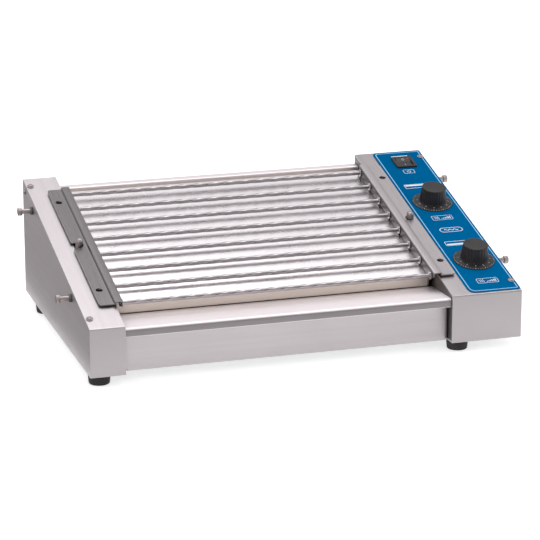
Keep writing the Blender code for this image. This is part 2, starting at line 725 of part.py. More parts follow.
def build_rail(name, side, corral):
    """A stepped rail: flat outer flange, riser, inner strip and a flange that hangs down."""
    half = RAIL_LENGTH / 2
    top = RAIL_LOW + RAIL_STEP + SHEET
    path = [(RAIL_OUTER + 1 * MM, RAIL_LOW + SHEET), (RAIL_RISER, RAIL_LOW + SHEET),
            (RAIL_RISER, top), (RAIL_INNER, top), (RAIL_INNER, RAIL_HANG)]
    bent = rounded(path, [0, 0.5 * MM, 2 * MM, 2 * MM, 0], steps=3, closed=False)
    outline = [(side * x, h) for x, h in sheet(bent, -SHEET)]
    rail = prism(name + "_rail", outline, "Y", -half, half, corral, "brushed")
    plan = prism(name + "_rail_plan", rail_plan(side), "Z", RAIL_HANG - 2 * MM, top + 2 * MM, corral)
    combine(rail, "INTERSECT", [plan])
    bolt_x = side * RAIL_HOLE_FROM_CENTRE
    holes = drums(name + "_rail_holes", [(bolt_x, k * RAIL_HOLE_SPREAD, 0) for k in (-1, 1)], "Z",
                  0, 8 * MM, RAIL_HOLE_RADIUS, corral, sides=12)
    rod_holes = drums(name + "_rod_holes",
                      [(side * RAIL_INNER, s, ROD_HEIGHT) for s in rod_places()], "X",
                      -5 * MM, 5 * MM, ROD_SPIGOT_RADIUS + GAP, corral, sides=8)
    run, rise = RAIL_CHAMFER
    past = 3 * MM
    outline = [
        (-half - past, RAIL_HANG - past),
        (-half + run, RAIL_HANG - past),
        (-half + run, RAIL_HANG),
        (-half - past, RAIL_HANG + rise * (run + past) / run),
    ]
    chamfer = prism(name + "_rail_chamfer", outline, "X", side * (RAIL_INNER - 5 * MM),
                    side * (RAIL_INNER + 5 * MM), corral)
    cut(rail, holes, rod_holes, chamfer)


def rod_places():
    """Distance of each rod from the rails' middle, rear rod first."""
    return [ROD_FRONT - RAIL_CENTRE + k * ROD_PITCH for k in reversed(range(ROD_COUNT))]


def build_rods(corral):
    face = RAIL_INNER - GAP
    half = [
        (face + SHEET + 1.6 * MM, 0),
        (face + SHEET + 1.6 * MM, ROD_SPIGOT_RADIUS),
        (face, ROD_SPIGOT_RADIUS),
        (face, WASHER_RADIUS),
        (face - WASHER_THICKNESS, WASHER_RADIUS),
        (face - WASHER_THICKNESS, ROD_END_RADIUS),
        (face - 12 * MM, ROD_END_RADIUS),
        (face - 16 * MM, ROD_RADIUS),
    ]
    profile = half + [(-t, r) for t, r in reversed(half)]
    for number, s in enumerate(rod_places(), 1):
        turned(f"rod_{number}", profile, (0, s, ROD_HEIGHT), "X", corral, "bright", sides=8)


# ---------------------------------------------------------------- controls

def build_controls(slope, right_cover, capillary_height):
    """The label, the two thermostats with their knobs, and the rocker switch."""
    middle = ((LABEL_LEFT + LABEL_RIGHT) / 2, (LABEL_FRONT + LABEL_BACK) / 2)
    size = (LABEL_RIGHT - LABEL_LEFT, LABEL_BACK - LABEL_FRONT)
    corners = [9 * MM, 3 * MM, 3 * MM, 6 * MM]
    label = prism("control_label", rounded(rectangle(middle, size), corners), "Z",
                  LABEL_BOTTOM, LABEL_TOP, slope, "label_blue")
    shafts = [(CONTROL_X, s, 0) for s in KNOB_PLACES.values()]
    shaft_holes = drums("knob_shaft_holes", shafts, "Z", -4 * MM, 3 * MM, THERMOSTAT_SHAFT + MM, slope)
    screws = [(x, s, 0) for x, s in screw_places(RIGHT_OUTER, 1).values()]
    screw_holes = drums("label_screw_holes", screws, "Z", -1 * MM, 3 * MM, SCREW_RADIUS + GAP,
                        slope, sides=12)
    opening = [side + 2 * GAP for side in SWITCH_BODY]
    window = prism("switch_window", rectangle((CONTROL_X, SWITCH_PLACE), opening), "Z",
                   -4 * MM, 3 * MM, slope)
    cut(label, shaft_holes, screw_holes, window)
    cut(right_cover, shaft_holes, window)
    for name in KNOB_PLACES:
        build_thermostat(name, capillary_height, slope)
        build_knob(name, slope)
    build_switch(slope)


def build_thermostat(name, capillary_height, slope):
    """Thermostat body with its shaft, and the capillary that ends in a bulb."""
    s, bulb_s = KNOB_PLACES[name], bulb_place(name)
    top = -SHEET - GAP
    half = THERMOSTAT_SIZE / 2
    thermostat = box(name + "_thermostat", (CONTROL_X - half, s - half, top - THERMOSTAT_DEPTH),
                     (CONTROL_X + half, s + half, top), slope, "galvanised")
    shaft = drum(name + "_thermostat_shaft", (CONTROL_X, s, 0), "Z", top - 1 * MM,
                 KNOB_BORE_TOP - 1 * MM, THERMOSTAT_SHAFT, slope)
    low = top - THERMOSTAT_DEPTH - 4 * MM
    wall_pass = RIGHT_INNER + 8 * MM
    capillary = tube(
        name + "_capillary",
        smooth_path([
            (CONTROL_X - half + 4 * MM, s, top - THERMOSTAT_DEPTH + 3 * MM),
            (CONTROL_X - half + 2 * MM, s, low),
            (CONTROL_X - half - 8 * MM, (s + bulb_s) / 2, low - 8 * MM),
            (wall_pass + 4 * MM, bulb_s, capillary_height - 2 * MM),
            (wall_pass - 4 * MM, bulb_s, capillary_height),
            (RIGHT_INNER - 24 * MM, bulb_s, capillary_height),
        ]),
        1.2 * MM, slope, sides=5,
    )
    bulb = drum(name + "_bulb", (RIGHT_INNER, bulb_s, capillary_height), "X", -100 * MM,
                -20 * MM, BULB_RADIUS, slope, sides=12)
    join(thermostat, shaft, capillary, bulb)


def build_knob(name, slope):
    axis = axes(name + "_knob_axis", (CONTROL_X, KNOB_PLACES[name], 0), parent=slope)
    profile = [
        (KNOB_BORE_TOP, 0),
        (KNOB_BORE_TOP, THERMOSTAT_SHAFT + GAP),
        (KNOB_SKIRT_BOTTOM, THERMOSTAT_SHAFT + GAP),
        (KNOB_SKIRT_BOTTOM, KNOB_SKIRT_RADIUS),
        (KNOB_SKIRT_BOTTOM + KNOB_SKIRT_EDGE, KNOB_SKIRT_RADIUS),
        (KNOB_SKIRT_TOP, KNOB_BASE_RADIUS + 2 * MM),
        (KNOB_SKIRT_TOP + 1 * MM, KNOB_BASE_RADIUS),
        (KNOB_TOP - 1 * MM, KNOB_TOP_RADIUS),
        (KNOB_TOP, KNOB_TOP_RADIUS - 1 * MM),
        (KNOB_TOP, 0),
    ]
    turned(name + "_knob", profile, (0, 0, 0), "Z", axis, "black_plastic", sides=24)


def build_switch(slope):
    """The switch's bezel and body with a pocket, and the rocker that tilts in it."""
    centre = (CONTROL_X, SWITCH_PLACE)
    bezel = prism("switch_body", rounded(rectangle(centre, SWITCH_BEZEL), 2 * MM), "Z",
                  LABEL_TOP + GAP, LABEL_TOP + GAP + SWITCH_HEIGHT, slope, "black_plastic")
    lower = prism("switch_lower", rectangle(centre, SWITCH_BODY), "Z", -22 * MM,
                  LABEL_TOP + GAP + 1 * MM, slope)
    pocket = prism("switch_pocket", rectangle(centre, SWITCH_POCKET), "Z", -12 * MM, 8 * MM, slope)
    join(bezel, lower)
    cut(bezel, pocket)

    axis = axes("power_rocker_axis", (*centre, 0), (SWITCH_TILT, 0, 0), slope)
    half = SWITCH_POCKET[1] / 2 - 1.2 * MM
    width = SWITCH_POCKET[0] / 2 - 0.5 * MM
    outline = rounded(
        [(-half, 3.2 * MM), (0, 1.9 * MM), (half, 3.2 * MM), (half, -1.5 * MM), (3 * MM, -7 * MM),
         (-3 * MM, -7 * MM), (-half, -1.5 * MM)],
        [0.8 * MM, 0, 0.8 * MM, 1 * MM, 1 * MM, 1 * MM, 1 * MM],
    )
    prism("power_rocker", outline, "X", -width, width, axis, "black_plastic")


# ---------------------------------------------------------------- fasteners, feet and cord

def head_profile(under, radius, height, shank_radius, shank_length):
    """A pan head on a plain shank, up from the shank's end to the top of the head."""
    return [
        (under - shank_length, 0),
        (under - shank_length, shank_radius),
        (under, shank_radius),
        (under, radius),
        (under + height * 0.45, radius),
        (under + height * 0.8, radius * 0.8),
        (under + height, radius * 0.4),
        (under + height, 0),
    ]


def build_screws(body, slope):
    for name, (outer, _, side) in HOUSINGS.items():
        under = LABEL_TOP + GAP if side > 0 else GAP
        for end, (x, s) in screw_places(outer, side).items():
            profile = head_profile(under, SCREW_HEAD_RADIUS, 2.4 * MM, SCREW_RADIUS, 8 * MM)
            turned(f"{name}_{end}_screw", profile, (x, s, 0), "Z", slope, "bright", sides=12)
        profile = head_profile(GAP, 3.5 * MM, 2 * MM, SCREW_RADIUS, 6 * MM)
        profile = [(side * t, r) for t, r in profile]
        turned(f"{name}_side_screw", profile, (outer, *SIDE_SCREW), "X", body, "bright", sides=12)


def build_guard_studs(body):
    """Shouldered thumb studs on the outer sides, for a food guard."""
    for name, (outer, _, side) in HOUSINGS.items():
        for end, place in GUARD_STUDS.items():
            head = GUARD_STUD_LENGTH - 5 * MM
            profile = [
                (-8 * MM, 0),
                (-8 * MM, GUARD_SHANK_RADIUS),
                (GAP, GUARD_SHANK_RADIUS),
                (GAP, GUARD_HEAD_RADIUS),
                (3 * MM, GUARD_HEAD_RADIUS),
                (3 * MM, GUARD_SHANK_RADIUS),
                (head, GUARD_SHANK_RADIUS),
                (head + 0.6 * MM, GUARD_HEAD_RADIUS),
                (GUARD_STUD_LENGTH - 0.6 * MM, GUARD_HEAD_RADIUS),
                (GUARD_STUD_LENGTH, GUARD_HEAD_RADIUS - 0.6 * MM),
                (GUARD_STUD_LENGTH, 0),
            ]
            profile = [(side * t, r) for t, r in profile]
            turned(f"{name}_{end}_guard_stud", profile, (outer, *place), "X", body, "bright", sides=12)


def build_feet(body):
    for side, x in FOOT_X.items():
        for end, y in FOOT_Y.items():
            profile = [
                (-5 * MM, 0),
                (-5 * MM, 4 * MM),
                (-FOOT_HEIGHT, 4 * MM),
                (-FOOT_HEIGHT, FOOT_BOTTOM_RADIUS - 1.5 * MM),
                (-FOOT_HEIGHT + 1.5 * MM, FOOT_BOTTOM_RADIUS),
                (-GAP, FOOT_TOP_RADIUS),
                (-GAP, 0),
            ]
            turned(f"{side}_{end}_foot", profile, (x, y, 0), "Z", body, "rubber")


def build_power(body, right_cover):
    """Terminal block, cord bush in the rear face and the cord with its moulded plug."""
    block = box("terminal_block", (CORD_X - 18 * MM, 285 * MM, 2 * MM + GAP),
                (CORD_X + 8 * MM, 315 * MM, 20 * MM), body, "black_plastic")
    posts = drums("terminal_holes", [(CORD_X - 12 * MM + k * 7 * MM, 300 * MM, 20 * MM)
                                     for k in range(3)], "Z", -8 * MM, 5 * MM, 2.5 * MM, body, 12)
    cut(block, posts)

    rear = (CORD_X, DEPTH, CORD_HEIGHT)
    hole = drums("cord_hole", [rear], "Y", -8 * MM, 5 * MM, 7 * MM, body)
    cut(right_cover, hole)
    bore = CORD_RADIUS + GAP
    turned(
        "strain_relief",
        [(-6 * MM, bore), (-6 * MM, 6.6 * MM), (GAP, 6.6 * MM), (GAP, 9.5 * MM), (3 * MM, 9.5 * MM),
         (11 * MM, 6 * MM), (11 * MM, bore), (-6 * MM, bore)],
        rear, "Y", body, "black_plastic",
    )
    floor = CORD_RADIUS - FOOT_HEIGHT
    plug_y, plug_z = DEPTH + PLUG_BEHIND, PLUG_RADIUS - FOOT_HEIGHT
    cord = tube(
        "power_cord",
        smooth_path([
            (CORD_X, CORD_START, CORD_HEIGHT),
            (CORD_X, DEPTH + 4 * MM, CORD_HEIGHT),
            (CORD_X, DEPTH + 20 * MM, CORD_HEIGHT - 2 * MM),
            (CORD_X - 2 * MM, DEPTH + 31 * MM, CORD_HEIGHT - 18 * MM),
            (CORD_X - 12 * MM, DEPTH + 34 * MM, floor + 8 * MM),
            (CORD_X - 40 * MM, DEPTH + 33 * MM, floor),
            (CORD_X - 100 * MM, DEPTH + 28 * MM, floor),
            (CORD_X - 150 * MM, plug_y, floor),
            (CORD_X - 182 * MM, plug_y, plug_z - 1 * MM),
            (CORD_X - 192 * MM, plug_y, plug_z),
        ]),
        CORD_RADIUS, body, "rubber", sides=7,
    )
    end = (CORD_X - 190 * MM, plug_y, plug_z)
    plug = turned("plug_body", [(0, 0), (0, 6 * MM), (-12 * MM, PLUG_RADIUS - 0.5 * MM),
                                (-30 * MM, PLUG_RADIUS), (-34 * MM, PLUG_RADIUS), (-34 * MM, 0)],
                  end, "X", body, sides=12)
    blades = []
    for k in (-1, 1):
        y, z = end[1] + k * 5 * MM, end[2]
        blades.append(box(f"plug_blade_{k}", (end[0] - 50 * MM, y - 0.8 * MM, z - 3 * MM),
                          (end[0] - 33 * MM, y + 0.8 * MM, z + 3 * MM), body))
    join(cord, plug, *blades)


def build():
    clear_scene()
    body = axes("body_axes", (0, FRONT_Y, FOOT_HEIGHT))
    slope = axes("slope_axes", (0, FRONT_Y, FOOT_HEIGHT + FRONT_HEIGHT), (SLOPE, 0, 0))

    build_housing("left", body, slope)
    right_cover, right_wall = build_housing("right", body, slope)
    build_base(body)
    build_trough_ends(body)
    capillary_height = build_griddle(slope, right_wall)

    for name, (_, _, side) in HOUSINGS.items():
        build_drive_block(name, side, slope)
        build_slide_guide(name, side, slope)
    build_rocker(slope)
    build_bearings(slope)
    arm_face = build_crank(slope)
    build_gearmotor(body, arm_face)

    corral = axes("corral_axes", (TROUGH_CENTRE, RAIL_CENTRE, 0), parent=slope)
    for name, (_, _, side) in HOUSINGS.items():
        build_rail(name, side, corral)
    build_rods(corral)

    build_controls(slope, right_cover, capillary_height)
    build_screws(body, slope)
    build_guard_studs(body)
    build_feet(body)
    build_power(body, right_cover)


build()
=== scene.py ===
"""Looks for the hot dog grill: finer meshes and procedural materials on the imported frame.

Lengths are in metres, in the frame's own coordinates: +X right, +Y back, +Z up. Many pieces
are built in slope coordinates instead: x as before, s up the slope from the front edge of
the housing tops, and h square to the slope.
"""

import json
import math

import bmesh
import bpy
from mathutils import Matrix, Vector


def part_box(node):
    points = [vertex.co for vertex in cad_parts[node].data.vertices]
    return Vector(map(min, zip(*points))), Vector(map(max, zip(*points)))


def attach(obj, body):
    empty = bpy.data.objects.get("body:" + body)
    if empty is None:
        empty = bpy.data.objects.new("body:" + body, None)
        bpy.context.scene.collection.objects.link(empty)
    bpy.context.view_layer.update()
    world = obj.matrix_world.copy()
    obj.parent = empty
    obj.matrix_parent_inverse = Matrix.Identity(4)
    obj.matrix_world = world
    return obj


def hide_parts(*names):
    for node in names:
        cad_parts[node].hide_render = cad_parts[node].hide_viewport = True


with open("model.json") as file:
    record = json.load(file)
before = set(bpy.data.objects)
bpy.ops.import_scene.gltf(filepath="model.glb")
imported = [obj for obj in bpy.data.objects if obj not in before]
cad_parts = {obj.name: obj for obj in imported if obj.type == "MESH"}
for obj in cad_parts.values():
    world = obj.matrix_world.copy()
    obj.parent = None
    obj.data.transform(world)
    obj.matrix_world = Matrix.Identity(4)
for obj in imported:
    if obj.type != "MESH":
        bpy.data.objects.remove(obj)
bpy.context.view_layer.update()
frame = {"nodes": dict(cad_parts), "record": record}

MM = 0.001
NODES = frame["nodes"]
JOINTS = {joint["name"]: joint for joint in frame["record"]["behaviour"]["joints"]}
BODY_OF = {
    node: body
    for body, members in frame["record"]["behaviour"]["bodies"].items()
    for node in members
}
SLOT_OF = {part["node"]: part["material_slot"] for part in frame["record"]["subparts"]}
SIDES = {"left": -1, "right": 1}
ENDS = ("front", "rear")

# Clearance between neighbouring CAD pieces, and how close to its axis a lathe profile ends
GAP = 0.3 * MM
AXIS_RADIUS = 0.1 * MM

# Griddle
GRIDDLE_CORNER = 4 * MM
GRIDDLE_EDGE = 1.1 * MM
GRIDDLE_EDGE_STEPS = 5
GRIDDLE_WALL = 2 * MM
GRIDDLE_PLATE = 3 * MM

# Corral rods
ROD_COUNT = 8
ROD_SIDES = 24
ROD_RING_SPACING = 1.25 * MM
ROD_LEAD = 80 * MM
ROD_HALF_SIDE = 2.6 * MM
ROD_SQUARENESS = 2.8
ROD_PHASE_STEP = 0.9
ROD_END_RADIUS = 2.5 * MM
ROD_ROUND_END = 4 * MM
ROD_TRANSITION = 9 * MM
WASHER_RADIUS = 4.9 * MM
WASHER_THICKNESS = 1.2 * MM
WASHER_ROUNDING = 0.35 * MM
SPIGOT_RADIUS = 1.9 * MM
SPIGOT_LENGTH = 3.3 * MM
SPIGOT_CHAMFER = 0.7 * MM

# Knobs: a conical skirt with a dial, and a fluted body
SKIRT_HEIGHT = 2.6 * MM
SKIRT_RIM = 0.8 * MM
SKIRT_SHOULDER = 2 * MM
KNOB_BORE = 3.4 * MM
KNOB_BASE_RADIUS = 16.6 * MM
KNOB_TOP_RADIUS = 15.2 * MM
KNOB_CROWN = (1.4 * MM, 1.2 * MM)
KNOB_CROWN_STEPS = 4
KNOB_ROWS = 8
KNOB_FLUTES = 24
KNOB_FLUTE_DEPTH = 0.045
DIAL_ARC = math.radians(270)
DIAL_STEPS = 36
DIAL_STEPS_PER_DIGIT = 4
DIAL_MAJOR_TICK = (0.55 * MM, 1.9 * MM)
DIAL_MINOR_TICK = (0.35 * MM, 1.1 * MM)
DIAL_RIM = 0.5 * MM
DIGIT_HEIGHT = 3.3 * MM
DIGIT_PLACE = 1 * MM

# Rocker of the switch, whose dished top rises as a power of the distance from its middle
ROCKER_TILT = math.radians(8)
ROCKER_HALF = 9.1 * MM
ROCKER_CREST = 1.9 * MM
ROCKER_DISH = 1.25 * MM
ROCKER_CURVE = 1.3
ROCKER_END_DEPTH = 1.5 * MM
ROCKER_KEEL = (3 * MM, 7 * MM)
ROCKER_MARK_PLACE = 5.4 * MM

# Printing on the label
PRINT_LIFT = 0.03 * MM
PRINT_THICKNESS = 0.06 * MM
LABEL_CORNERS = (9 * MM, 3 * MM, 3 * MM, 6 * MM)
PINSTRIPE_WIDTH = 1.1 * MM
PINSTRIPE_INSET = 2.6 * MM
ZONE_SIGN = (28 * MM, 10.5 * MM)
HEAT_SIGN = (27 * MM, 11 * MM)
POWER_SIGN = (15 * MM, 10 * MM)
SAUSAGE_SIGN = (30 * MM, 11 * MM)
SIGN_DISTANCES = {"front": (43 * MM, 50 * MM), "rear": (45 * MM, 40.5 * MM)}

# Screws: radius of the washer face and of the head on it
SCREW_HEADS = {"top": (4.2 * MM, 3.0 * MM), "side": (3.4 * MM, 2.5 * MM)}
SCREW_HEIGHT = 2.4 * MM
SCREW_SLOT = (0.9 * MM, 0.7 * MM)

# Thumb studs
STUD_LENGTH = 18.5 * MM
STUD_HEAD_LENGTH = 5 * MM
STUD_COLLAR_LENGTH = 3 * MM
STUD_SHANK_RADIUS = 3.1 * MM
STUD_HEAD_RADIUS = 4.85 * MM
STUD_TOOTH_COUNT = 26
STUD_TOOTH_DEPTH = 0.035

# Feet: radius and depth of the recess underneath
FOOT_RECESS = (4 * MM, 7 * MM)

# Studio
FRONT_DIMMING = 0.4
FRONT_RANGE = (-0.95, -0.7)
FLOOR_GLOW = 0.55
FLOOR_SIZE = 12
SKY_STOPS = (
    (0.0, 0.85),
    (0.3, 0.85),
    (0.44, 0.5),
    (0.6, 0.9),
    (0.76, 0.9),
    (0.88, 0.4),
    (0.97, 1.1),
)
LIGHT_TARGET = (0, 0, 0.08)
LIGHTS = {
    # name: place, size, power
    "overhead": ((0.3, 0.6, 2.4), (2.2, 1.6), 20),
    "front_fill": ((-1.6, -2.6, 1.8), (1.8, 1.4), 18),
    "right_fill": ((2.4, -0.6, 1.5), (1.4, 1.4), 7),
}
FLAG_SIZE = (0.56, 1.6)
FLAG_FROM_SIDE = 0.3
FLAG_BACK = 0.35
FLAG_BRIGHTNESS = 0.36

# Camera
CAMERA_AZIMUTH = math.radians(-17.083)
CAMERA_ELEVATION = math.radians(16.46)
CAMERA_DISTANCE = 2.8737
CAMERA_LENS = 166.93
CAMERA_SENSOR = 36
CAMERA_FROM_CENTRE = -50.2 * MM
CAMERA_ABOVE_FLOOR = 122.2 * MM


# ---------------------------------------------------------------- frame

def make_slope_matrix():
    """Slope coordinates to frame coordinates."""
    along = Vector(JOINTS["drive_slide"]["axis"]).normalized()
    up = Vector(JOINTS["corral_lift"]["axis"]).normalized()
    cover = NODES["left_top_cover"].data.vertices
    front = min(v.co.y for v in cover)
    top = max(v.co.dot(up) for v in cover)
    origin = Vector((0, front, (top - front * up.y) / up.z))
    matrix = Matrix((Vector((1, 0, 0)), along, up)).transposed().to_4x4()
    matrix.translation = origin
    return matrix


SLOPE = make_slope_matrix()
TO_SLOPE = SLOPE.inverted()


def slope_box(node):
    """Lowest and highest corners of a CAD node in slope coordinates."""
    points = [TO_SLOPE @ v.co for v in NODES[node].data.vertices]
    low = Vector([min(p[i] for p in points) for i in range(3)])
    high = Vector([max(p[i] for p in points) for i in range(3)])
    return low, high


def middle(corners):
    return (corners[0] + corners[1]) / 2


def between(a, b, share):
    return a + (b - a) * share


# ---------------------------------------------------------------- shaders

MATERIALS = {}


class Shader:
    """A node material under construction, kept in MATERIALS under its name."""

    def __init__(self, name):
        material = bpy.data.materials.new(name)
        material.use_nodes = True
        MATERIALS[name] = material
        self.nodes = material.node_tree.nodes
        self.links = material.node_tree.links
        self.surface = self.nodes["Principled BSDF"]

    def add(self, kind, inputs=None, **settings):
        node = self.nodes.new("ShaderNode" + kind)
        for key, value in settings.items():
            setattr(node, key, value)
        for key, value in (inputs or {}).items():
            self.feed(node, key, value)
        return node

    def feed(self, node, key, value):
        if isinstance(value, bpy.types.NodeSocket):
            self.links.new(value, node.inputs[key])
        else:
            node.inputs[key].default_value = value

    def set(self, **inputs):
        for key, value in inputs.items():
            self.feed(self.surface, key.replace("_", " "), value)

    def place(self, stretch=(1, 1, 1), tilt=0.0):
        """Object coordinates, tipped back by tilt about X and then stretched."""
        coordinates = self.add("TexCoord").outputs["Object"]
        turned = self.add("Mapping", {"Vector": coordinates, "Rotation": (-tilt, 0, 0)})
        stretched = {"Vector": turned.outputs["Vector"], "Scale": stretch}
        return self.add("Mapping", stretched).outputs["Vector"]

    def noise(self, scale, stretch=(1, 1, 1), *, detail, roughness=0.55, distortion=0.0, tilt=0.0):
        inputs = {
            "Vector": self.place(stretch, tilt),
            "Scale": scale,
            "Detail": detail,
            "Roughness": roughness,
            "Distortion": distortion,
        }
        return self.add("TexNoise", inputs).outputs["Fac"]

    def spread(self, value, low, high, start=0.0, end=1.0):
        """Maps start..end to low..high, and no further."""
        inputs = {"Value": value, "From Min": start, "From Max": end, "To Min": low, "To Max": high}
        return self.add("MapRange", inputs, clamp=True).outputs["Result"]

    def math(self, operation, a, b):
        node = self.add("Math", operation=operation)
        self.feed(node, 0, a)
        self.feed(node, 1, b)
        return node.outputs[0]

    def blend(self, share, a, b):
        """Mixes two colours: a at share 0, b at share 1."""
        node = self.add("Mix", data_type="RGBA")
        self.feed(node, 0, share)
        self.feed(node, 6, (*a, 1) if isinstance(a, tuple) else a)
        self.feed(node, 7, (*b, 1) if isinstance(b, tuple) else b)
        return node.outputs[2]

    def bump(self, height, strength, distance, normal=None):
        inputs = {"Height": height, "Strength": strength, "Distance": distance}
        if normal is not None:
            inputs["Normal"] = normal
        return self.add("Bump", inputs).outputs["Normal"]

    def geometry(self, vector, axis):
        """One coordinate of the Position or the Normal."""
        source = self.add("NewGeometry").outputs[vector]
        return self.add("SeparateXYZ", {"Vector": source}).outputs[axis]

    def along_normal(self, direction):
        """The cosine between the face's normal and a direction."""
        node = self.add("VectorMath", operation="DOT_PRODUCT")
        self.feed(node, 0, self.add("NewGeometry").outputs["Normal"])
        self.feed(node, 1, direction)
        return node.outputs["Value"]

    def edges(self, radius):
        """1 on sharp edges, 0 on flat stretches."""
        rounded_normal = self.add("Bevel", {"Radius": radius}, samples=4).outputs["Normal"]
        return self.spread(self.along_normal(rounded_normal), 1.0, 0.0, 0.8, 0.995)


def scaled(colour, factor):
    return tuple(channel * factor for channel in colour)


STEEL = (0.60, 0.56, 0.575)
TO_FRONT = (0, -1, 0)
TO_BACK = (0, 1, 0)
TO_LEFT = (-1, 0, 0)
SLOPE_ANGLE = math.atan2(SLOPE[2][1], SLOPE[1][1])


def brushed_steel(name, grain, shade, roughness=0.36, tilt=0.0, painted_shade=None, painted_highlight_span=None):
    """Brushed stainless sheet. grain is the axis, x, y or z, that the brushing runs along.

    shade scales the colour as painted light and shade: below 1 the sheet is painted darker, above 1
    lighter.
    dull is a direction and a factor for painted shade: faces that face that way get STEEL times
    the factor. bright is a pair of distances along Y for a painted highlight: from the first
    to the second the sheet gets lighter.
    """
    shader = Shader(name)
    colour = scaled(STEEL, shade)
    stretch = tuple(0.012 if axis == grain else 1.0 for axis in "xyz")
    fine = shader.noise(1500, stretch, detail=4.0, roughness=0.65, tilt=tilt)
    streaks = shader.noise(190, stretch, detail=2.0, tilt=tilt)
    smears = shader.noise(7, (1, 1, 1.6), detail=4.0, distortion=0.6)
    wear_and_edge_highlight = shader.edges(0.9 * MM)
    streaky = shader.spread(streaks, 0, 1, 0.3, 0.7)
    tint = shader.blend(streaky, scaled(colour, 0.97), scaled(colour, 1.03))
    tint = shader.blend(shader.spread(smears, 0, 0.25, 0.5, 0.75), tint, scaled(colour, 0.92))
    # Painted shade: faces that face the given direction are darkened towards STEEL times the factor.
    if painted_shade:
        direction, factor = painted_shade
        facing = shader.spread(shader.along_normal(direction), 0, 1, 0.8, 0.97)
        tint = shader.blend(facing, tint, scaled(STEEL, factor))
    # Edges are lightened: partly wear, partly a painted edge highlight.
    tint = shader.blend(shader.math("MULTIPLY", wear_and_edge_highlight, 0.45), tint, (0.86, 0.84, 0.84))
    rough = shader.spread(fine, roughness - 0.07, roughness + 0.09, 0.3, 0.7)
    rough = shader.math("ADD", rough, shader.spread(smears, -0.02, 0.04, 0.35, 0.7))
    rough = shader.math("SUBTRACT", rough, shader.math("MULTIPLY", wear_and_edge_highlight, 0.08))
    normal = shader.bump(fine, 0.1, 0.05 * MM)
    shader.set(Base_Color=tint, Metallic=1.0, Roughness=rough, Normal=normal)
    # Painted highlight: upward faces between the two distances get lighter, their metallic dropping so
    # that they take in lamp light.
    if painted_highlight_span:
        near = shader.spread(shader.geometry("Position", "Y"), 0, 1, *painted_highlight_span)
        upward = shader.spread(shader.geometry("Normal", "Z"), 0, 1, 0.6, 0.9)
        share = shader.math("MULTIPLY", near, upward)
        shader.set(Metallic=shader.spread(share, 1.0, 0.35))


def brushed_deck():
    """The front deck's steel, with a painted highlight that lightens it towards its nose and painted shade
    that darkens its front hem.
    """
    front, back = [corner.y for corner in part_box("front_deck")]
    painted_highlight_span = (between(front, back, 0.75), between(front, back, 0.4))
    brushed_steel("brushed_deck", "x", 1.5, 0.5, painted_shade=(TO_FRONT, 0.42), painted_highlight_span=painted_highlight_span)


def polished_griddle():
    """Mirror-finished cooking plate with faint polishing lines, wipe marks and grease haze."""
    shader = Shader("polished_griddle")
    lines = shader.noise(900, (0.01, 1, 1), detail=3.0)
    wipes = shader.noise(26, (0.25, 1, 1), detail=5.0, distortion=1.4)
    haze = shader.noise(8, detail=3.0, distortion=0.4)
    waves = shader.noise(5, (0.5, 1, 1), detail=1.0)
    top = shader.spread(shader.geometry("Normal", "Z"), 0, 1, 0.6, 0.9)
    hazy = shader.spread(haze, 0, 0.5, 0.45, 0.75)
    tint = shader.blend(hazy, (0.93, 0.90, 0.92), (0.90, 0.87, 0.86))
    tint = shader.blend(top, (0.80, 0.74, 0.66), tint)
    rough = shader.math("ADD", shader.spread(wipes, 0.25, 0.30, 0.4, 0.7),
                        shader.spread(haze, 0.0, 0.07, 0.5, 0.8))
    rough = shader.math("ADD", rough, shader.spread(top, 0.2, 0.0))
    normal = shader.bump(waves, 0.08, 1.2 * MM)
    normal = shader.bump(lines, 0.05, 0.03 * MM, normal)
    shader.set(Base_Color=tint, Metallic=1.0, Roughness=rough, Normal=normal)


def bright_steel(name, colour, roughness, turned_axis=None):
    """Polished or turned steel. turned_axis gives rings square to that axis."""
    shader = Shader(name)
    if turned_axis:
        stretch = tuple(1.0 if axis == turned_axis else 0.02 for axis in "xyz")
        marks = shader.noise(2600, stretch, detail=2.0)
    else:
        marks = shader.noise(900, detail=3.0)
    film = shader.noise(60, detail=4.0, distortion=0.5)
    wear_and_edge_highlight = shader.edges(0.4 * MM)
    tint = shader.blend(shader.spread(film, 0, 1, 0.35, 0.7), colour, scaled(colour, 0.86))
    # Edges are lightened: partly wear, partly a painted edge highlight.
    tint = shader.blend(shader.math("MULTIPLY", wear_and_edge_highlight, 0.4), tint, (0.92, 0.91, 0.9))
    rough = shader.math("ADD", shader.spread(marks, roughness - 0.04, roughness + 0.06, 0.3, 0.7),
                        shader.spread(film, 0.0, 0.08, 0.45, 0.75))
    normal = shader.bump(marks, 0.06, 0.04 * MM)
    shader.set(Base_Color=tint, Metallic=1.0, Roughness=rough, Normal=normal)


def galvanised_sheet():
    """Zinc-coated sheet with its crystal spangle."""
    shader = Shader("galvanised_sheet")
    cells = shader.add("TexVoronoi", {"Vector": shader.place(), "Scale": 160.0}, feature="F1")
    spangle = shader.add("SeparateColor", {"Color": cells.outputs["Color"]}).outputs[0]
    dust = shader.noise(30, detail=4.0)
    tint = shader.blend(spangle, (0.40, 0.41, 0.42), (0.58, 0.59, 0.60))
    tint = shader.blend(shader.spread(dust, 0, 0.4, 0.45, 0.7), tint, (0.36, 0.36, 0.35))
    rough = shader.math("ADD", shader.spread(spangle, 0.34, 0.5), shader.spread(dust, 0, 0.15, 0.4, 0.7))
    shader.set(Base_Color=tint, Metallic=1.0, Roughness=rough,
               Normal=shader.bump(spangle, 0.1, 0.05 * MM))


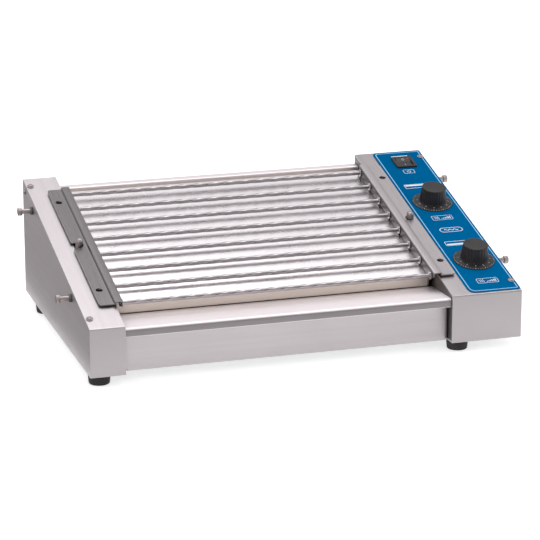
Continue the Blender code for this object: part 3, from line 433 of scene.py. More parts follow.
def black_plastic(name, colour, roughness, grain):
    """Moulded black plastic with a fine spark-eroded texture, and edges lightened partly as rubbing wear
    and partly as painted highlight.
    """
    shader = Shader(name)
    texture = shader.noise(2400, detail=2.0)
    handling = shader.noise(90, detail=4.0, distortion=0.4)
    wear_and_edge_highlight = shader.edges(0.5 * MM)
    tint = shader.blend(shader.spread(handling, 0, 1, 0.35, 0.7), colour, scaled(colour, 1.9))
    # Edges are lightened: partly rubbing wear, partly a painted edge highlight.
    tint = shader.blend(shader.math("MULTIPLY", wear_and_edge_highlight, 0.35), tint, (0.11, 0.105, 0.105))
    rough = shader.math("ADD", shader.spread(texture, roughness - 0.05, roughness + 0.08, 0.3, 0.7),
                        shader.spread(handling, -0.04, 0.08, 0.35, 0.7))
    shader.set(Base_Color=tint, Roughness=rough, Specular_IOR_Level=0.3,
               Normal=shader.bump(texture, grain, 0.04 * MM))


def black_rubber():
    shader = Shader("black_rubber")
    texture = shader.noise(1300, detail=4.0)
    dust = shader.noise(55, detail=5.0, distortion=0.6)
    tint = shader.blend(shader.spread(dust, 0, 1, 0.45, 0.75), (0.014, 0.013, 0.013), (0.05, 0.047, 0.045))
    rough = shader.spread(dust, 0.62, 0.86, 0.35, 0.7)
    shader.set(Base_Color=tint, Roughness=rough, Specular_IOR_Level=0.35,
               Normal=shader.bump(texture, 0.35, 0.08 * MM))


def blue_label():
    """Matt printed polyester film: blue with a faint halftone and light scuffs."""
    shader = Shader("blue_label")
    screen = shader.add("TexVoronoi", {"Vector": shader.place(), "Scale": 1400.0}).outputs["Distance"]
    fading = shader.noise(6, detail=2.0)
    scuffs = shader.noise(60, (1, 0.2, 1), detail=5.0, distortion=1.0)
    faded = shader.spread(fading, 0, 1, 0.35, 0.65)
    tint = shader.blend(faded, (0.0, 0.103, 0.268), (0.0, 0.117, 0.299))
    tint = shader.blend(shader.spread(screen, 0, 0.12, 0.2, 0.7), tint, (0.0, 0.131, 0.336))
    tint = shader.blend(shader.spread(scuffs, 0, 0.10, 0.62, 0.8), tint, (0.01, 0.15, 0.31))
    rough = shader.spread(scuffs, 0.38, 0.55, 0.4, 0.75)
    shader.set(Base_Color=tint, Roughness=rough, Specular_IOR_Level=0.0,
               Normal=shader.bump(screen, 0.04, 0.02 * MM))


def print_ink(name, colour):
    """Screen-printed ink, slightly uneven."""
    shader = Shader(name)
    cover = shader.noise(700, detail=3.0)
    tint = shader.blend(shader.spread(cover, 0, 1, 0.3, 0.7), scaled(colour, 0.9), colour)
    shader.set(Base_Color=tint, Roughness=shader.spread(cover, 0.4, 0.6),
               Normal=shader.bump(cover, 0.05, 0.02 * MM))


def simple_surface(name, dark, light, roughness, scale, metallic=0.0, depth=0.2):
    """For pieces inside the housings: two tones of one colour, mottled, with a little relief."""
    shader = Shader(name)
    mottle = shader.noise(scale, detail=5.0, distortion=0.4)
    tint = shader.blend(shader.spread(mottle, 0, 1, 0.3, 0.7), dark, light)
    rough = shader.spread(mottle, roughness - 0.1, roughness + 0.1)
    shader.set(Base_Color=tint, Metallic=metallic, Roughness=rough,
               Normal=shader.bump(mottle, depth, 0.2 * MM))


def make_materials():
    """All finishes of the machine. The brushed steels are one stainless sheet in lighter and darker
    copies, painted light and shade for each sheet. The last ones have the names of CAD material slots.
    """
    # Shade factors are painted light and shade: the inner walls (0.3) and the left rail (0.36) are painted
    # dark as shade, the deck (1.5) and the rear panel (1.4) painted light. The directions given with dull
    # paint shade on the covers' fronts, the deck's hem, the rear panel's back faces and the right rail's
    # inner flange.
    brushed_steel("brushed_across", "x", 0.75)
    brushed_deck()
    brushed_steel("brushed_rear", "x", 1.4, 0.45, painted_shade=(TO_BACK, 0.8))
    brushed_steel("brushed_wall", "y", 0.3, 0.4)
    brushed_steel("brushed_left", "y", 1.05, 0.38, SLOPE_ANGLE, painted_shade=(TO_FRONT, 0.68))
    brushed_steel("brushed_right", "y", 0.77, 0.38, SLOPE_ANGLE, painted_shade=(TO_FRONT, 0.69))
    brushed_steel("brushed_side", "y", 0.92, 0.4)
    brushed_steel("brushed_left_rail", "y", 0.36, 0.3, SLOPE_ANGLE)
    brushed_steel("brushed_right_rail", "y", 0.74, 0.32, SLOPE_ANGLE, painted_shade=(TO_LEFT, 0.24))
    polished_griddle()
    bright_steel("rod_steel", (0.44, 0.41, 0.42), 0.15)
    bright_steel("turned_steel_x", (0.40, 0.35, 0.345), 0.26, "x")
    bright_steel("turned_steel_z", (0.36, 0.32, 0.32), 0.28, "z")
    bright_steel("dark_steel", (0.16, 0.15, 0.15), 0.35)
    black_plastic("knob_plastic", (0.013, 0.011, 0.012), 0.42, 0.3)
    print_ink("white_ink", (0.80, 0.84, 0.88))
    print_ink("pale_blue_ink", (0.30, 0.62, 0.86))
    print_ink("dial_ink", (0.50, 0.50, 0.52))
    print_ink("red_ink", (0.42, 0.02, 0.03))

    black_plastic("black_gloss_plastic", (0.012, 0.011, 0.012), 0.2, 0.05)
    black_plastic("black_plastic", (0.018, 0.017, 0.018), 0.42, 0.25)
    black_rubber()
    blue_label()
    galvanised_sheet()
    simple_surface("element_sheath", (0.16, 0.13, 0.11), (0.33, 0.29, 0.26), 0.4, 300, metallic=0.9)
    simple_surface("mineral_wool", (0.42, 0.36, 0.24), (0.72, 0.66, 0.5), 0.9, 500, depth=0.9)
    simple_surface("motor_paint", (0.09, 0.095, 0.1), (0.15, 0.155, 0.16), 0.45, 400)
    simple_surface("white_nylon", (0.66, 0.64, 0.58), (0.8, 0.78, 0.73), 0.45, 250)


# ---------------------------------------------------------------- meshes

def link(name, mesh, material):
    """A new object in the scene that shows the mesh."""
    mesh.materials.append(MATERIALS[material])
    thing = bpy.data.objects.new(name, mesh)
    bpy.context.scene.collection.objects.link(thing)
    return thing


def mesh_from(bm, name):
    mesh = bpy.data.meshes.new(name)
    bm.to_mesh(mesh)
    bm.free()
    return mesh


def piece(name, bm, material, node, smooth, matrix=None, bevel=0.0, replaces=True):
    """Turns a bmesh into a piece with the CAD node's body and the given material, which may replace the
    node.

    smooth is the angle in degrees below which edges are shaded smooth.
    """
    if matrix is not None:
        bm.transform(matrix)
    bmesh.ops.recalc_face_normals(bm, faces=bm.faces)
    mesh = mesh_from(bm, name)
    mesh.shade_smooth()
    mesh.set_sharp_from_angle(angle=math.radians(smooth))
    thing = link(name, mesh, material)
    if bevel:
        rounding = thing.modifiers.new("Rounded_edges", "BEVEL")
        rounding.width = bevel
        rounding.segments = 2
        rounding.limit_method = "ANGLE"
        rounding.angle_limit = math.radians(40)
        rounding.harden_normals = True
    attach(thing, BODY_OF[node])
    if replaces:
        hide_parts(node)


def printed(name, bm, ink, node, matrix=SLOPE):
    """A piece of printing on the CAD node."""
    piece(name, bm, ink, node, 20, matrix, replaces=False)


def refined(node, material, bevel, smooth=35):
    """A CAD node's own shape as a clean mesh: welded, coplanar triangles merged, edges rounded."""
    bm = bmesh.new()
    bm.from_mesh(NODES[node].data)
    bmesh.ops.transform(bm, matrix=TO_SLOPE, verts=bm.verts)
    bmesh.ops.remove_doubles(bm, verts=bm.verts, dist=0.01 * MM)
    bmesh.ops.dissolve_limit(bm, angle_limit=math.radians(0.5), verts=bm.verts, edges=bm.edges)
    piece(node + "_visual", bm, material, node, smooth, SLOPE, bevel)


def add_rings(bm, rings):
    """Bridges closed rings of points in order, and caps both ends."""
    loops = [[bm.verts.new(point) for point in ring] for ring in rings]
    bridge(bm, loops)
    bm.faces.new(loops[0][::-1])
    bm.faces.new(loops[-1])


def bridge(bm, loops):
    """Quads between each loop of vertices and the next."""
    for first, second in zip(loops, loops[1:]):
        count = len(first)
        for k in range(count):
            m = (k + 1) % count
            bm.faces.new((first[k], first[m], second[m], second[k]))


def around(axis, centre, t, radius, angle):
    """A point at an angle round an axis, X or Z, through centre, t along it."""
    a, b = radius * math.cos(angle), radius * math.sin(angle)
    return Vector(centre) + Vector((t, a, b) if axis == "X" else (a, b, t))


def add_lathe(bm, profile, centre, axis, sides, ripple=None):
    """A round solid from (distance along the axis, radius) pairs.

    ripple gives a factor on the radius for a profile point's number and an angle.
    """
    rings = []
    for index, (t, radius) in enumerate(profile):
        ring = []
        for k in range(sides):
            angle = math.tau * k / sides
            factor = ripple(index, angle) if ripple else 1.0
            ring.append(around(axis, centre, t, radius * factor, angle))
        rings.append(ring)
    add_rings(bm, rings)


def rounded_profile(profile, radii, steps=5):
    """The profile with arcs at its corners."""
    points = rounded([Vector(p) for p in profile], radii, steps, closed=False)
    return [(p.x, p.y) for p in points]


def rounded(points, radii, steps, closed=True):
    """The outline with an arc of the given radius at each corner."""
    result = []
    last = len(points) - 1
    for i, point in enumerate(points):
        radius = radii[i] if isinstance(radii, (list, tuple)) else radii
        here = Vector(point)
        if radius == 0 or (not closed and i in (0, last)):
            result.append(here)
            continue
        to_last = (Vector(points[i - 1]) - here).normalized()
        to_next = (Vector(points[(i + 1) % len(points)]) - here).normalized()
        half = to_last.angle(to_next) / 2
        centre = here + (to_last + to_next).normalized() * radius / math.sin(half)
        start = here + to_last * radius / math.tan(half) - centre
        end = here + to_next * radius / math.tan(half) - centre
        turn = -start.angle_signed(end)
        for k in range(steps + 1):
            result.append(centre + Matrix.Rotation(turn * k / steps, 2) @ start)
    return result


def rectangle(centre, size):
    (x, y), (w, d) = centre, size
    corners = [(-1, -1), (1, -1), (1, 1), (-1, 1)]
    return [(x + i * w / 2, y + j * d / 2) for i, j in corners]


def add_slab(bm, outline, low, high):
    """An outline in x and s, extruded along h."""
    add_rings(bm, [[(x, s, h) for x, s in outline] for h in (low, high)])


def add_frame(bm, outer, inner, low, high):
    """A flat ring between two outlines with the same number of points."""
    loops = []
    for outline, h in ((outer, low), (outer, high), (inner, high), (inner, low)):
        loops.append([bm.verts.new((x, s, h)) for x, s in outline])
    bridge(bm, [*loops, loops[0]])


def add_block(bm, matrix, size):
    """A rectangular block, centred on the matrix's origin."""
    verts = bmesh.ops.create_cube(bm, size=1.0)["verts"]
    bmesh.ops.transform(bm, matrix=matrix @ Matrix.Diagonal((*size, 1)), verts=verts)


def add_mesh(bm, mesh):
    """Adds the mesh's faces to the bmesh and deletes the mesh."""
    bm.from_mesh(mesh)
    bpy.data.meshes.remove(mesh)


# ---------------------------------------------------------------- sheet metal

def build_sheet_metal():
    for name in SIDES:
        refined(name + "_top_cover", "brushed_" + name, 0.3 * MM)
        refined(name + "_side_panel", "brushed_side", 0.3 * MM)
        refined(name + "_inner_wall", "brushed_wall", 0.2 * MM)
        refined(name + "_rail", f"brushed_{name}_rail", 0.3 * MM)
    refined("front_panel", "brushed_across", 0.3 * MM)
    refined("front_deck", "brushed_deck", 0.3 * MM)
    refined("rear_panel", "brushed_rear", 0.3 * MM)
    refined("base_plate", "galvanised_sheet", 0.3 * MM)


def build_griddle():
    """The cooking plate: a shallow inverted pan with rounded corners and edges."""
    low, high = slope_box("griddle_plate")
    size = (high.x - low.x, high.y - low.y)
    centre = middle((low, high))

    def ring(inset, h):
        inner = rectangle(centre.xy, [side - 2 * inset for side in size])
        return [Vector((p.x, p.y, h)) for p in rounded(inner, GRIDDLE_CORNER - inset, 10)]

    rings = [
        ring(GRIDDLE_WALL, high.z - GRIDDLE_PLATE),
        ring(GRIDDLE_WALL, low.z),
        ring(0, low.z),
    ]
    for k in range(GRIDDLE_EDGE_STEPS + 1):
        angle = math.pi / 2 * k / GRIDDLE_EDGE_STEPS
        height = high.z - GRIDDLE_EDGE + GRIDDLE_EDGE * math.sin(angle)
        rings.append(ring(GRIDDLE_EDGE * (1 - math.cos(angle)), height))
    bm = bmesh.new()
    add_rings(bm, rings)
    piece("griddle_visual", bm, "polished_griddle", "griddle_plate", 50, SLOPE)


# ---------------------------------------------------------------- corral

def rod_radius(angle, squareness):
    """Radius of the bar at an angle: from round, at 0, to a rounded square, at 1."""
    power = ROD_SQUARENESS
    fullness = (abs(math.cos(angle)) ** power + abs(math.sin(angle)) ** power) ** (1 / power)
    return between(ROD_END_RADIUS, ROD_HALF_SIDE / fullness, squareness)


def build_rod(number):
    """A twisted bar with a washer and a spigot at each end, between the two rails."""
    node = f"rod_{number}"
    centre = middle(slope_box(node))
    axis = (0, centre.y, centre.z)
    left = max(v.co.x for v in NODES["left_rail"].data.vertices) + GAP
    right = min(v.co.x for v in NODES["right_rail"].data.vertices) - GAP
    start, end = left + WASHER_THICKNESS, right - WASHER_THICKNESS
    count = round((end - start) / ROD_RING_SPACING)
    rings = []
    for i in range(count + 1):
        x = between(start, end, i / count)
        reach = min(x - start, end - x)
        share = max(0.0, min(1.0, (reach - ROD_ROUND_END) / ROD_TRANSITION))
        square = share * share * (3 - 2 * share)
        twist = math.tau * x / ROD_LEAD + number * ROD_PHASE_STEP
        angles = [math.tau * k / ROD_SIDES for k in range(ROD_SIDES)]
        rings.append([around("X", axis, x, rod_radius(a - twist, square), a) for a in angles])
    bm = bmesh.new()
    add_rings(bm, rings)
    corners = [(0, AXIS_RADIUS), (0, WASHER_RADIUS)]
    corners += [(WASHER_THICKNESS, WASHER_RADIUS), (WASHER_THICKNESS, AXIS_RADIUS)]
    washer = rounded_profile(corners, WASHER_ROUNDING)
    inside = 0.2 * MM
    spigot = [
        (inside, AXIS_RADIUS / 2),
        (inside, SPIGOT_RADIUS),
        (SPIGOT_CHAMFER - SPIGOT_LENGTH, SPIGOT_RADIUS),
        (0.1 * MM - SPIGOT_LENGTH, SPIGOT_RADIUS - SPIGOT_CHAMFER),
        (-SPIGOT_LENGTH, AXIS_RADIUS / 2),
    ]
    for face, inward in ((left, 1), (right, -1)):
        for profile, sides in ((washer, 32), (spigot, 20)):
            turned = [(inward * t, r) for t, r in profile]
            add_lathe(bm, turned, (face, centre.y, centre.z), "X", sides)
    piece(node + "_twisted", bm, "rod_steel", node, 60, SLOPE)


def build_corral():
    for number in range(1, ROD_COUNT + 1):
        build_rod(number)


# ---------------------------------------------------------------- controls

def knob_flutes(first, last):
    """The factor on a knob's radius that cuts flutes into the rings between first and last."""
    def ripple(index, angle):
        if not first <= index <= last:
            return 1.0
        wave = abs(math.cos(KNOB_FLUTES / 2 * angle))
        return 1.0 - KNOB_FLUTE_DEPTH * (1 - wave) ** 1.5
    return ripple


def digit_mesh(text):
    """A digit as a thin extruded mesh, centred on its own middle."""
    curve = bpy.data.curves.new("digit", "FONT")
    curve.body = text
    curve.size = DIGIT_HEIGHT
    curve.extrude = PRINT_THICKNESS / 2
    curve.align_x = "CENTER"
    curve.align_y = "CENTER"
    helper = bpy.data.objects.new("digit", curve)
    bpy.context.scene.collection.objects.link(helper)
    graph = bpy.context.evaluated_depsgraph_get()
    mesh = bpy.data.meshes.new_from_object(helper.evaluated_get(graph))
    bpy.data.objects.remove(helper)
    bpy.data.curves.remove(curve)
    return mesh


def knob_profile(base, top, skirt_radius):
    """The knob's profile, and the numbers of the first and last point with flutes."""
    skirt_top = base + SKIRT_HEIGHT
    profile = rounded_profile(
        [
            (base, KNOB_BORE),
            (base, skirt_radius),
            (base + SKIRT_RIM, skirt_radius),
            (skirt_top, KNOB_BASE_RADIUS + SKIRT_SHOULDER),
            (skirt_top, KNOB_BASE_RADIUS + 0.2 * MM),
        ],
        [0, 0.3 * MM, 0.5 * MM, 0.3 * MM, 0])
    first = len(profile) + 1
    across, down = KNOB_CROWN
    low, high = skirt_top + 0.8 * MM, top - down
    profile.append((skirt_top + 0.2 * MM, KNOB_BASE_RADIUS))
    for k in range(KNOB_ROWS + 1):
        share = k / KNOB_ROWS
        radius = between(KNOB_BASE_RADIUS, KNOB_TOP_RADIUS, share)
        profile.append((between(low, high, share), radius))
    last = len(profile) - 1
    for k in range(1, KNOB_CROWN_STEPS + 1):
        angle = math.pi / 2 * k / KNOB_CROWN_STEPS
        radius = KNOB_TOP_RADIUS - across * (1 - math.cos(angle))
        profile.append((high + down * math.sin(angle), radius))
    # The crown's shallow dish
    profile += [
        (top - 0.1 * MM, KNOB_TOP_RADIUS - 2.2 * MM),
        (top - 0.45 * MM, KNOB_TOP_RADIUS - 3.0 * MM),
        (top - 0.5 * MM, 2 * AXIS_RADIUS),
    ]
    return profile, first, last


def build_knob(end):
    """Skirted thermostat knob with a fluted body and a dial."""
    node = end + "_knob"
    low, high = slope_box(node)
    centre = middle((low, high))
    skirt_radius = (high.x - low.x) / 2
    profile, first, last = knob_profile(low.z, high.z, skirt_radius)
    bm = bmesh.new()
    add_lathe(bm, profile, (centre.x, centre.y, 0), "Z", KNOB_FLUTES * 8, knob_flutes(first, last))
    piece(node + "_body", bm, "knob_plastic", node, 32, SLOPE)
    build_dial(node, centre, low.z, skirt_radius)


def build_dial(node, centre, base, skirt_radius):
    """Ticks and digits printed on the knob's conical skirt."""
    inner_radius = KNOB_BASE_RADIUS + SKIRT_SHOULDER
    drop = math.atan2(SKIRT_HEIGHT - SKIRT_RIM, skirt_radius - inner_radius)

    def on_skirt(angle, radius):
        """A local frame on the skirt: +Y outwards, +Z square to the cone."""
        height = base + SKIRT_HEIGHT - (radius - inner_radius) * math.tan(drop)
        height += PRINT_LIFT + PRINT_THICKNESS / 2
        turn = Matrix.Rotation(angle - math.pi / 2, 4, "Z")
        lean = Matrix.Rotation(-drop, 4, "X")
        place = Matrix.Translation((centre.x, centre.y, height))
        return place @ turn @ Matrix.Translation((0, radius, 0)) @ lean

    bm = bmesh.new()
    upright = Matrix.Rotation(math.pi, 4, "Z")
    for k in range(DIAL_STEPS + 1):
        angle = -math.pi / 2 - DIAL_ARC / 2 + DIAL_ARC * k / DIAL_STEPS
        number, left_over = divmod(k, DIAL_STEPS_PER_DIGIT)
        width, length = DIAL_MINOR_TICK if left_over else DIAL_MAJOR_TICK
        tick = on_skirt(angle, skirt_radius - DIAL_RIM - length / 2)
        add_block(bm, tick, (width, length, PRINT_THICKNESS))
        if number and not left_over:
            digit = digit_mesh(str(number))
            digit.transform(on_skirt(angle, inner_radius + DIGIT_PLACE) @ upright)
            add_mesh(bm, digit)
    printed(node + "_scale", bm, "dial_ink", node)


def rocker_height(s):
    """Height of the rocker's dished top, s from its middle."""
    return ROCKER_CREST + ROCKER_DISH * (abs(s) / ROCKER_HALF) ** ROCKER_CURVE


def on_rocker(x, s):
    """A local frame on the rocker's dished top."""
    rise = ROCKER_DISH * ROCKER_CURVE / ROCKER_HALF * (abs(s) / ROCKER_HALF) ** (ROCKER_CURVE - 1)
    lean = Matrix.Rotation(math.atan(math.copysign(rise, s)), 4, "X")
    height = rocker_height(s) + PRINT_LIFT + PRINT_THICKNESS
    return Matrix.Translation((x, s, height)) @ lean


def build_switch():
    """The switch's bezel, and its dished gloss rocker."""
    refined("switch_body", "black_plastic", 0.5 * MM)
    low, high = slope_box("power_rocker")
    pivot = TO_SLOPE @ Vector(JOINTS["power_rocker_tilt"]["pos_m"])
    half_width = (high.x - low.x) / 2
    top_end = ROCKER_HALF - 0.25 * MM
    top_steps, columns = 16, 5
    keel, depth = ROCKER_KEEL
    below = [(ROCKER_HALF, ROCKER_END_DEPTH), (keel, depth)]
    outline = [(-s, -h) for s, h in below] + [(s, -h) for s, h in below[::-1]]
    for k in range(top_steps + 1):
        s = between(top_end, -top_end, k / top_steps)
        outline.append((s, rocker_height(s)))
    rings = []
    for i in range(columns + 1):
        x = between(-half_width, half_width, i / columns)
        rings.append([(x, s, h) for s, h in outline])
    bm = bmesh.new()
    add_rings(bm, rings)
    matrix = SLOPE @ Matrix.Translation(pivot) @ Matrix.Rotation(ROCKER_TILT, 4, "X")
    piece("power_rocker_gloss", bm, "black_gloss_plastic", "power_rocker", 30, matrix, 0.35 * MM)

    # On and off signs
    bm = bmesh.new()
    add_block(bm, on_rocker(0, -ROCKER_MARK_PLACE), (0.7 * MM, 3.4 * MM, PRINT_THICKNESS))
    angles = [math.tau * k / 32 for k in range(32)]
    outer, inner = [
        [radius * Vector((math.cos(angle), math.sin(angle))) for angle in angles]
        for radius in (1.8 * MM, 1.2 * MM)
    ]
    ring = bmesh.new()
    add_frame(ring, outer, inner, 0, PRINT_THICKNESS)
    ring.transform(on_rocker(0, ROCKER_MARK_PLACE))
    add_mesh(bm, mesh_from(ring, "off_sign"))
    printed("power_rocker_symbols", bm, "dial_ink", "power_rocker", matrix)

    bm = bmesh.new()
    add_block(bm, on_rocker(6.6 * MM, 7.2 * MM), (2.2 * MM, 1.4 * MM, PRINT_THICKNESS))
    printed("power_rocker_red_mark", bm, "red_ink", "power_rocker", matrix)


def build_label():
    """The blue film with its pinstripe, and generic pictograms in place of lettering."""
    refined("control_label", "blue_label", 0.12 * MM)
    low, high = slope_box("control_label")
    top = high.z + PRINT_LIFT
    size = (high.x - low.x, high.y - low.y)
    centre = middle((low, high))

    def border(inset):
        sides = [side - 2 * inset for side in size]
        radii = [max(radius - inset * 0.6, 1 * MM) for radius in LABEL_CORNERS]
        return rounded(rectangle(centre.xy, sides), radii, 8)

    bm = bmesh.new()
    outer, inner = border(PINSTRIPE_INSET), border(PINSTRIPE_INSET + PINSTRIPE_WIDTH)
    add_frame(bm, outer, inner, top, top + PRINT_THICKNESS)
    printed("label_pinstripe", bm, "pale_blue_ink", "control_label")

    bm = bmesh.new()
    knobs = {end: middle(slope_box(end + "_knob")) for end in ENDS}
    switch = middle(slope_box("switch_body"))
    for end, knob in knobs.items():
        above, below = SIGN_DISTANCES[end]
        add_zone_sign(bm, (knob.x - 7 * MM, knob.y + above), end, top)
        add_heat_sign(bm, (knob.x - 1.4 * MM, knob.y - below), top)
    between_knobs = middle((knobs["rear"], knobs["front"])).y
    add_bar(bm, (switch.x, switch.y + 18.8 * MM), (22 * MM, 2.2 * MM), top)
    add_power_sign(bm, (switch.x - 1.3 * MM, switch.y - 23.5 * MM), top)
    add_sausage_sign(bm, (knobs["rear"].x - 1 * MM, between_knobs + 2.5 * MM), top)
    printed("label_signs", bm, "white_ink", "control_label")


def add_bar(bm, centre, size, top):
    """A printed bar with slightly rounded corners."""
    radius = min(0.3 * MM, 0.49 * min(size))
    add_slab(bm, rounded(rectangle(centre, size), radius, 4), top, top + PRINT_THICKNESS)


def add_outline_box(bm, centre, size, width, radius, top):
    """A printed rectangular line of the given width, with rounded corners."""
    outer = rounded(rectangle(centre, size), radius, 5)
    inner_size = [side - 2 * width for side in size]
    inner = rounded(rectangle(centre, inner_size), radius - width * 0.8, 5)
    add_frame(bm, outer, inner, top, top + PRINT_THICKNESS)


def add_line(bm, points, width, top):
    """A printed stroke of even width along the points."""
    path = [Vector(p) for p in points]
    runs = [(b - a).normalized() for a, b in zip(path, path[1:])]
    headings = [runs[0], *((a + b).normalized() for a, b in zip(runs, runs[1:])), runs[-1]]
    left = [p + Vector((-d.y, d.x)) * width / 2 for p, d in zip(path, headings)]
    right = [p - Vector((-d.y, d.x)) * width / 2 for p, d in zip(path, headings)]
    add_slab(bm, left + right[::-1], top, top + PRINT_THICKNESS)


def add_zone_sign(bm, centre, end, top):
    """The griddle in outline, with the half that this knob heats filled in."""
    x, s = centre
    add_outline_box(bm, centre, ZONE_SIGN, 0.8 * MM, 1.4 * MM, top)
    offset = {"front": -2.1 * MM, "rear": 2.1 * MM}[end]
    add_bar(bm, (x, s + offset), (24.6 * MM, 3.2 * MM), top)


def add_heat_sign(bm, centre, top):
    """An outlined box with three rising heat lines and a row of growing bars."""
    x, s = centre
    pitch = 2.2 * MM
    line_length, line_steps = 6 * MM, 12
    add_outline_box(bm, centre, HEAT_SIGN, 0.6 * MM, 2 * MM, top)
    for k in range(3):
        line_x = x - 9.5 * MM + k * pitch
        points = []
        for i in range(line_steps + 1):
            wave = 0.5 * MM * math.sin(math.tau * i / line_steps)
            points.append((line_x + wave, s + line_length * (i / line_steps - 0.5)))
        add_line(bm, points, 0.7 * MM, top)
    for k in range(6):
        height = (1.2 + 0.9 * k) * MM
        place = (x - 0.8 * MM + k * pitch, s - 2.9 * MM + height / 2)
        add_bar(bm, place, (1.2 * MM, height), top)


def add_power_sign(bm, centre, top):
    """The usual broken circle with a stroke."""
    x, s = centre
    radius, steps = 2.4 * MM, 24
    add_outline_box(bm, centre, POWER_SIGN, 0.6 * MM, 2 * MM, top)
    points = []
    for k in range(steps + 1):
        angle = math.radians(130) + math.radians(280) * k / steps
        points.append((x + radius * math.cos(angle), s + radius * math.sin(angle)))
    add_line(bm, points, 0.7 * MM, top)
    add_bar(bm, (x, s + 1.9 * MM), (0.8 * MM, 3 * MM), top)


def add_sausage_sign(bm, centre, top):
    """A bun in outline with a wavy line of sauce along it."""
    x, s = centre
    length, height, steps = 18 * MM, 1.3 * MM, 36
    add_outline_box(bm, centre, SAUSAGE_SIGN, 0.9 * MM, 5.2 * MM, top)
    points = []
    for i in range(steps + 1):
        share = i / steps
        points.append((x + length * (share - 0.5), s + height * math.sin(3 * math.tau * share)))
    add_line(bm, points, 1.1 * MM, top)


# ---------------------------------------------------------------- fasteners, studs, feet, cord

def build_screw(node, matrix, kind):
    """A domed head with a washer face and a screwdriver slot, on the plane of the matrix."""
    flange, head = SCREW_HEADS[kind]
    washer = rounded_profile([(0, AXIS_RADIUS), (0, flange), (0.8 * MM, flange), (1.0 * MM, head)],
                             [0, 0.15 * MM, 0.3 * MM, 0], 4)
    bm = bmesh.new()
    add_lathe(bm, [*washer, (1.02 * MM, AXIS_RADIUS)], (0, 0, 0), "Z", 40)
    add_head(bm, head, 0.9 * MM, 2.3 * MM)
    piece(node + "_head", bm, "turned_steel_z", node, 30, matrix)


def build_top_screw(node):
    low, high = slope_box(node)
    centre = middle((low, high))
    under = Matrix.Translation((centre.x, centre.y, high.z - SCREW_HEIGHT))
    build_screw(node, SLOPE @ under, "top")


def build_side_screw(name, outward):
    node = name + "_side_screw"
    centre = middle(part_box(node))
    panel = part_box(name + "_side_panel")
    face = panel[0].x if outward < 0 else panel[1].x
    under = Matrix.Translation((face + outward * GAP, centre.y, centre.z))
    build_screw(node, under @ Matrix.Rotation(outward * math.pi / 2, 4, "Y"), "side")


def add_head(bm, radius, low, high):
    """A domed round head with a straight slot across it."""
    slot_width, slot_depth = SCREW_SLOT
    sides, steps = 40, 6
    rings = []
    for k in range(steps + 1):
        t = k / steps
        ring_radius = radius * (1 - 0.55 * t ** 3) if k < steps else 0.35 * radius
        height = between(low, high, 1 - (1 - t) ** 2)
        crown = height > low + 0.8 * MM
        ring = []
        for j in range(sides):
            angle = math.tau * j / sides
            x, y = ring_radius * math.cos(angle), ring_radius * math.sin(angle)
            in_slot = crown and abs(y) < slot_width / 2
            ring.append(Vector((x, y, height - slot_depth if in_slot else height)))
        rings.append(ring)
    add_rings(bm, rings)


def build_guard_stud(node, outward):
    """A shouldered thumb stud: dark collar, turned shank and a straight-knurled head."""
    low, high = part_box(node)
    centre = middle((low, high))
    tip = low.x if outward < 0 else high.x
    on_panel = (tip - outward * STUD_LENGTH, centre.y, centre.z)
    head_start = STUD_LENGTH - STUD_HEAD_LENGTH
    shank, head = STUD_SHANK_RADIUS, STUD_HEAD_RADIUS

    def turn(bm, profile, sides, ripple=None):
        add_lathe(bm, [(outward * t, r) for t, r in profile], on_panel, "X", sides, ripple)

    bm = bmesh.new()
    stem = [(-6 * MM, AXIS_RADIUS), (-6 * MM, shank), (head_start, shank), (head_start, AXIS_RADIUS)]
    turn(bm, rounded_profile(stem, 0.2 * MM), 32)
    low_face = head_start - 0.1 * MM
    knob = rounded_profile(
        [(low_face, AXIS_RADIUS), (low_face, head), (STUD_LENGTH, head), (STUD_LENGTH, AXIS_RADIUS)],
        0.55 * MM, 4)

    def knurl(index, angle):
        if index in (0, len(knob) - 1):
            return 1.0
        return 1 - STUD_TOOTH_DEPTH * (0.5 + 0.5 * math.cos(STUD_TOOTH_COUNT * angle))

    turn(bm, knob, STUD_TOOTH_COUNT * 6, knurl)
    piece(node + "_turned", bm, "turned_steel_x", node, 40)

    bm = bmesh.new()
    inside = shank - 0.6 * MM
    collar = [(GAP, inside), (GAP, head), (STUD_COLLAR_LENGTH, head), (STUD_COLLAR_LENGTH, inside)]
    turn(bm, rounded_profile(collar, 0.4 * MM), 40)
    piece(node + "_collar", bm, "dark_steel", node, 40, replaces=False)


def build_foot(node):
    """A moulded rubber foot with a screw recess underneath."""
    low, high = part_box(node)
    centre = middle((low, high))
    radius = (high.x - low.x) / 2
    upper_radius = radius - 0.25 * MM
    recess_radius, recess_depth = FOOT_RECESS
    recess_top = low.z + recess_depth
    profile = rounded_profile(
        [
            (recess_top, 2 * AXIS_RADIUS),
            (recess_top, recess_radius),
            (low.z, recess_radius),
            (low.z, radius - 1.2 * MM),
            (low.z + 9 * MM, upper_radius),
            (high.z, upper_radius),
            (high.z, 2 * AXIS_RADIUS),
        ],
        [0, 0.3 * MM, 0.5 * MM, 1.8 * MM, 0.6 * MM, 0.5 * MM, 0], 6)
    bm = bmesh.new()
    add_lathe(bm, profile, (centre.x, centre.y, 0), "Z", 64)
    piece(node + "_moulded", bm, "black_rubber", node, 40)


def build_small_parts():
    for name, outward in SIDES.items():
        for end in ENDS:
            build_top_screw(f"{name}_{end}_screw")
            build_guard_stud(f"{name}_{end}_guard_stud", outward)
            build_foot(f"{name}_{end}_foot")
        build_side_screw(name, outward)
        refined(f"{name}_drive_block", "turned_steel_z", 0.15 * MM, smooth=40)
    refined("strain_relief", "black_plastic", 0.3 * MM)
    refined("power_cord", "black_rubber", 0.0, smooth=60)


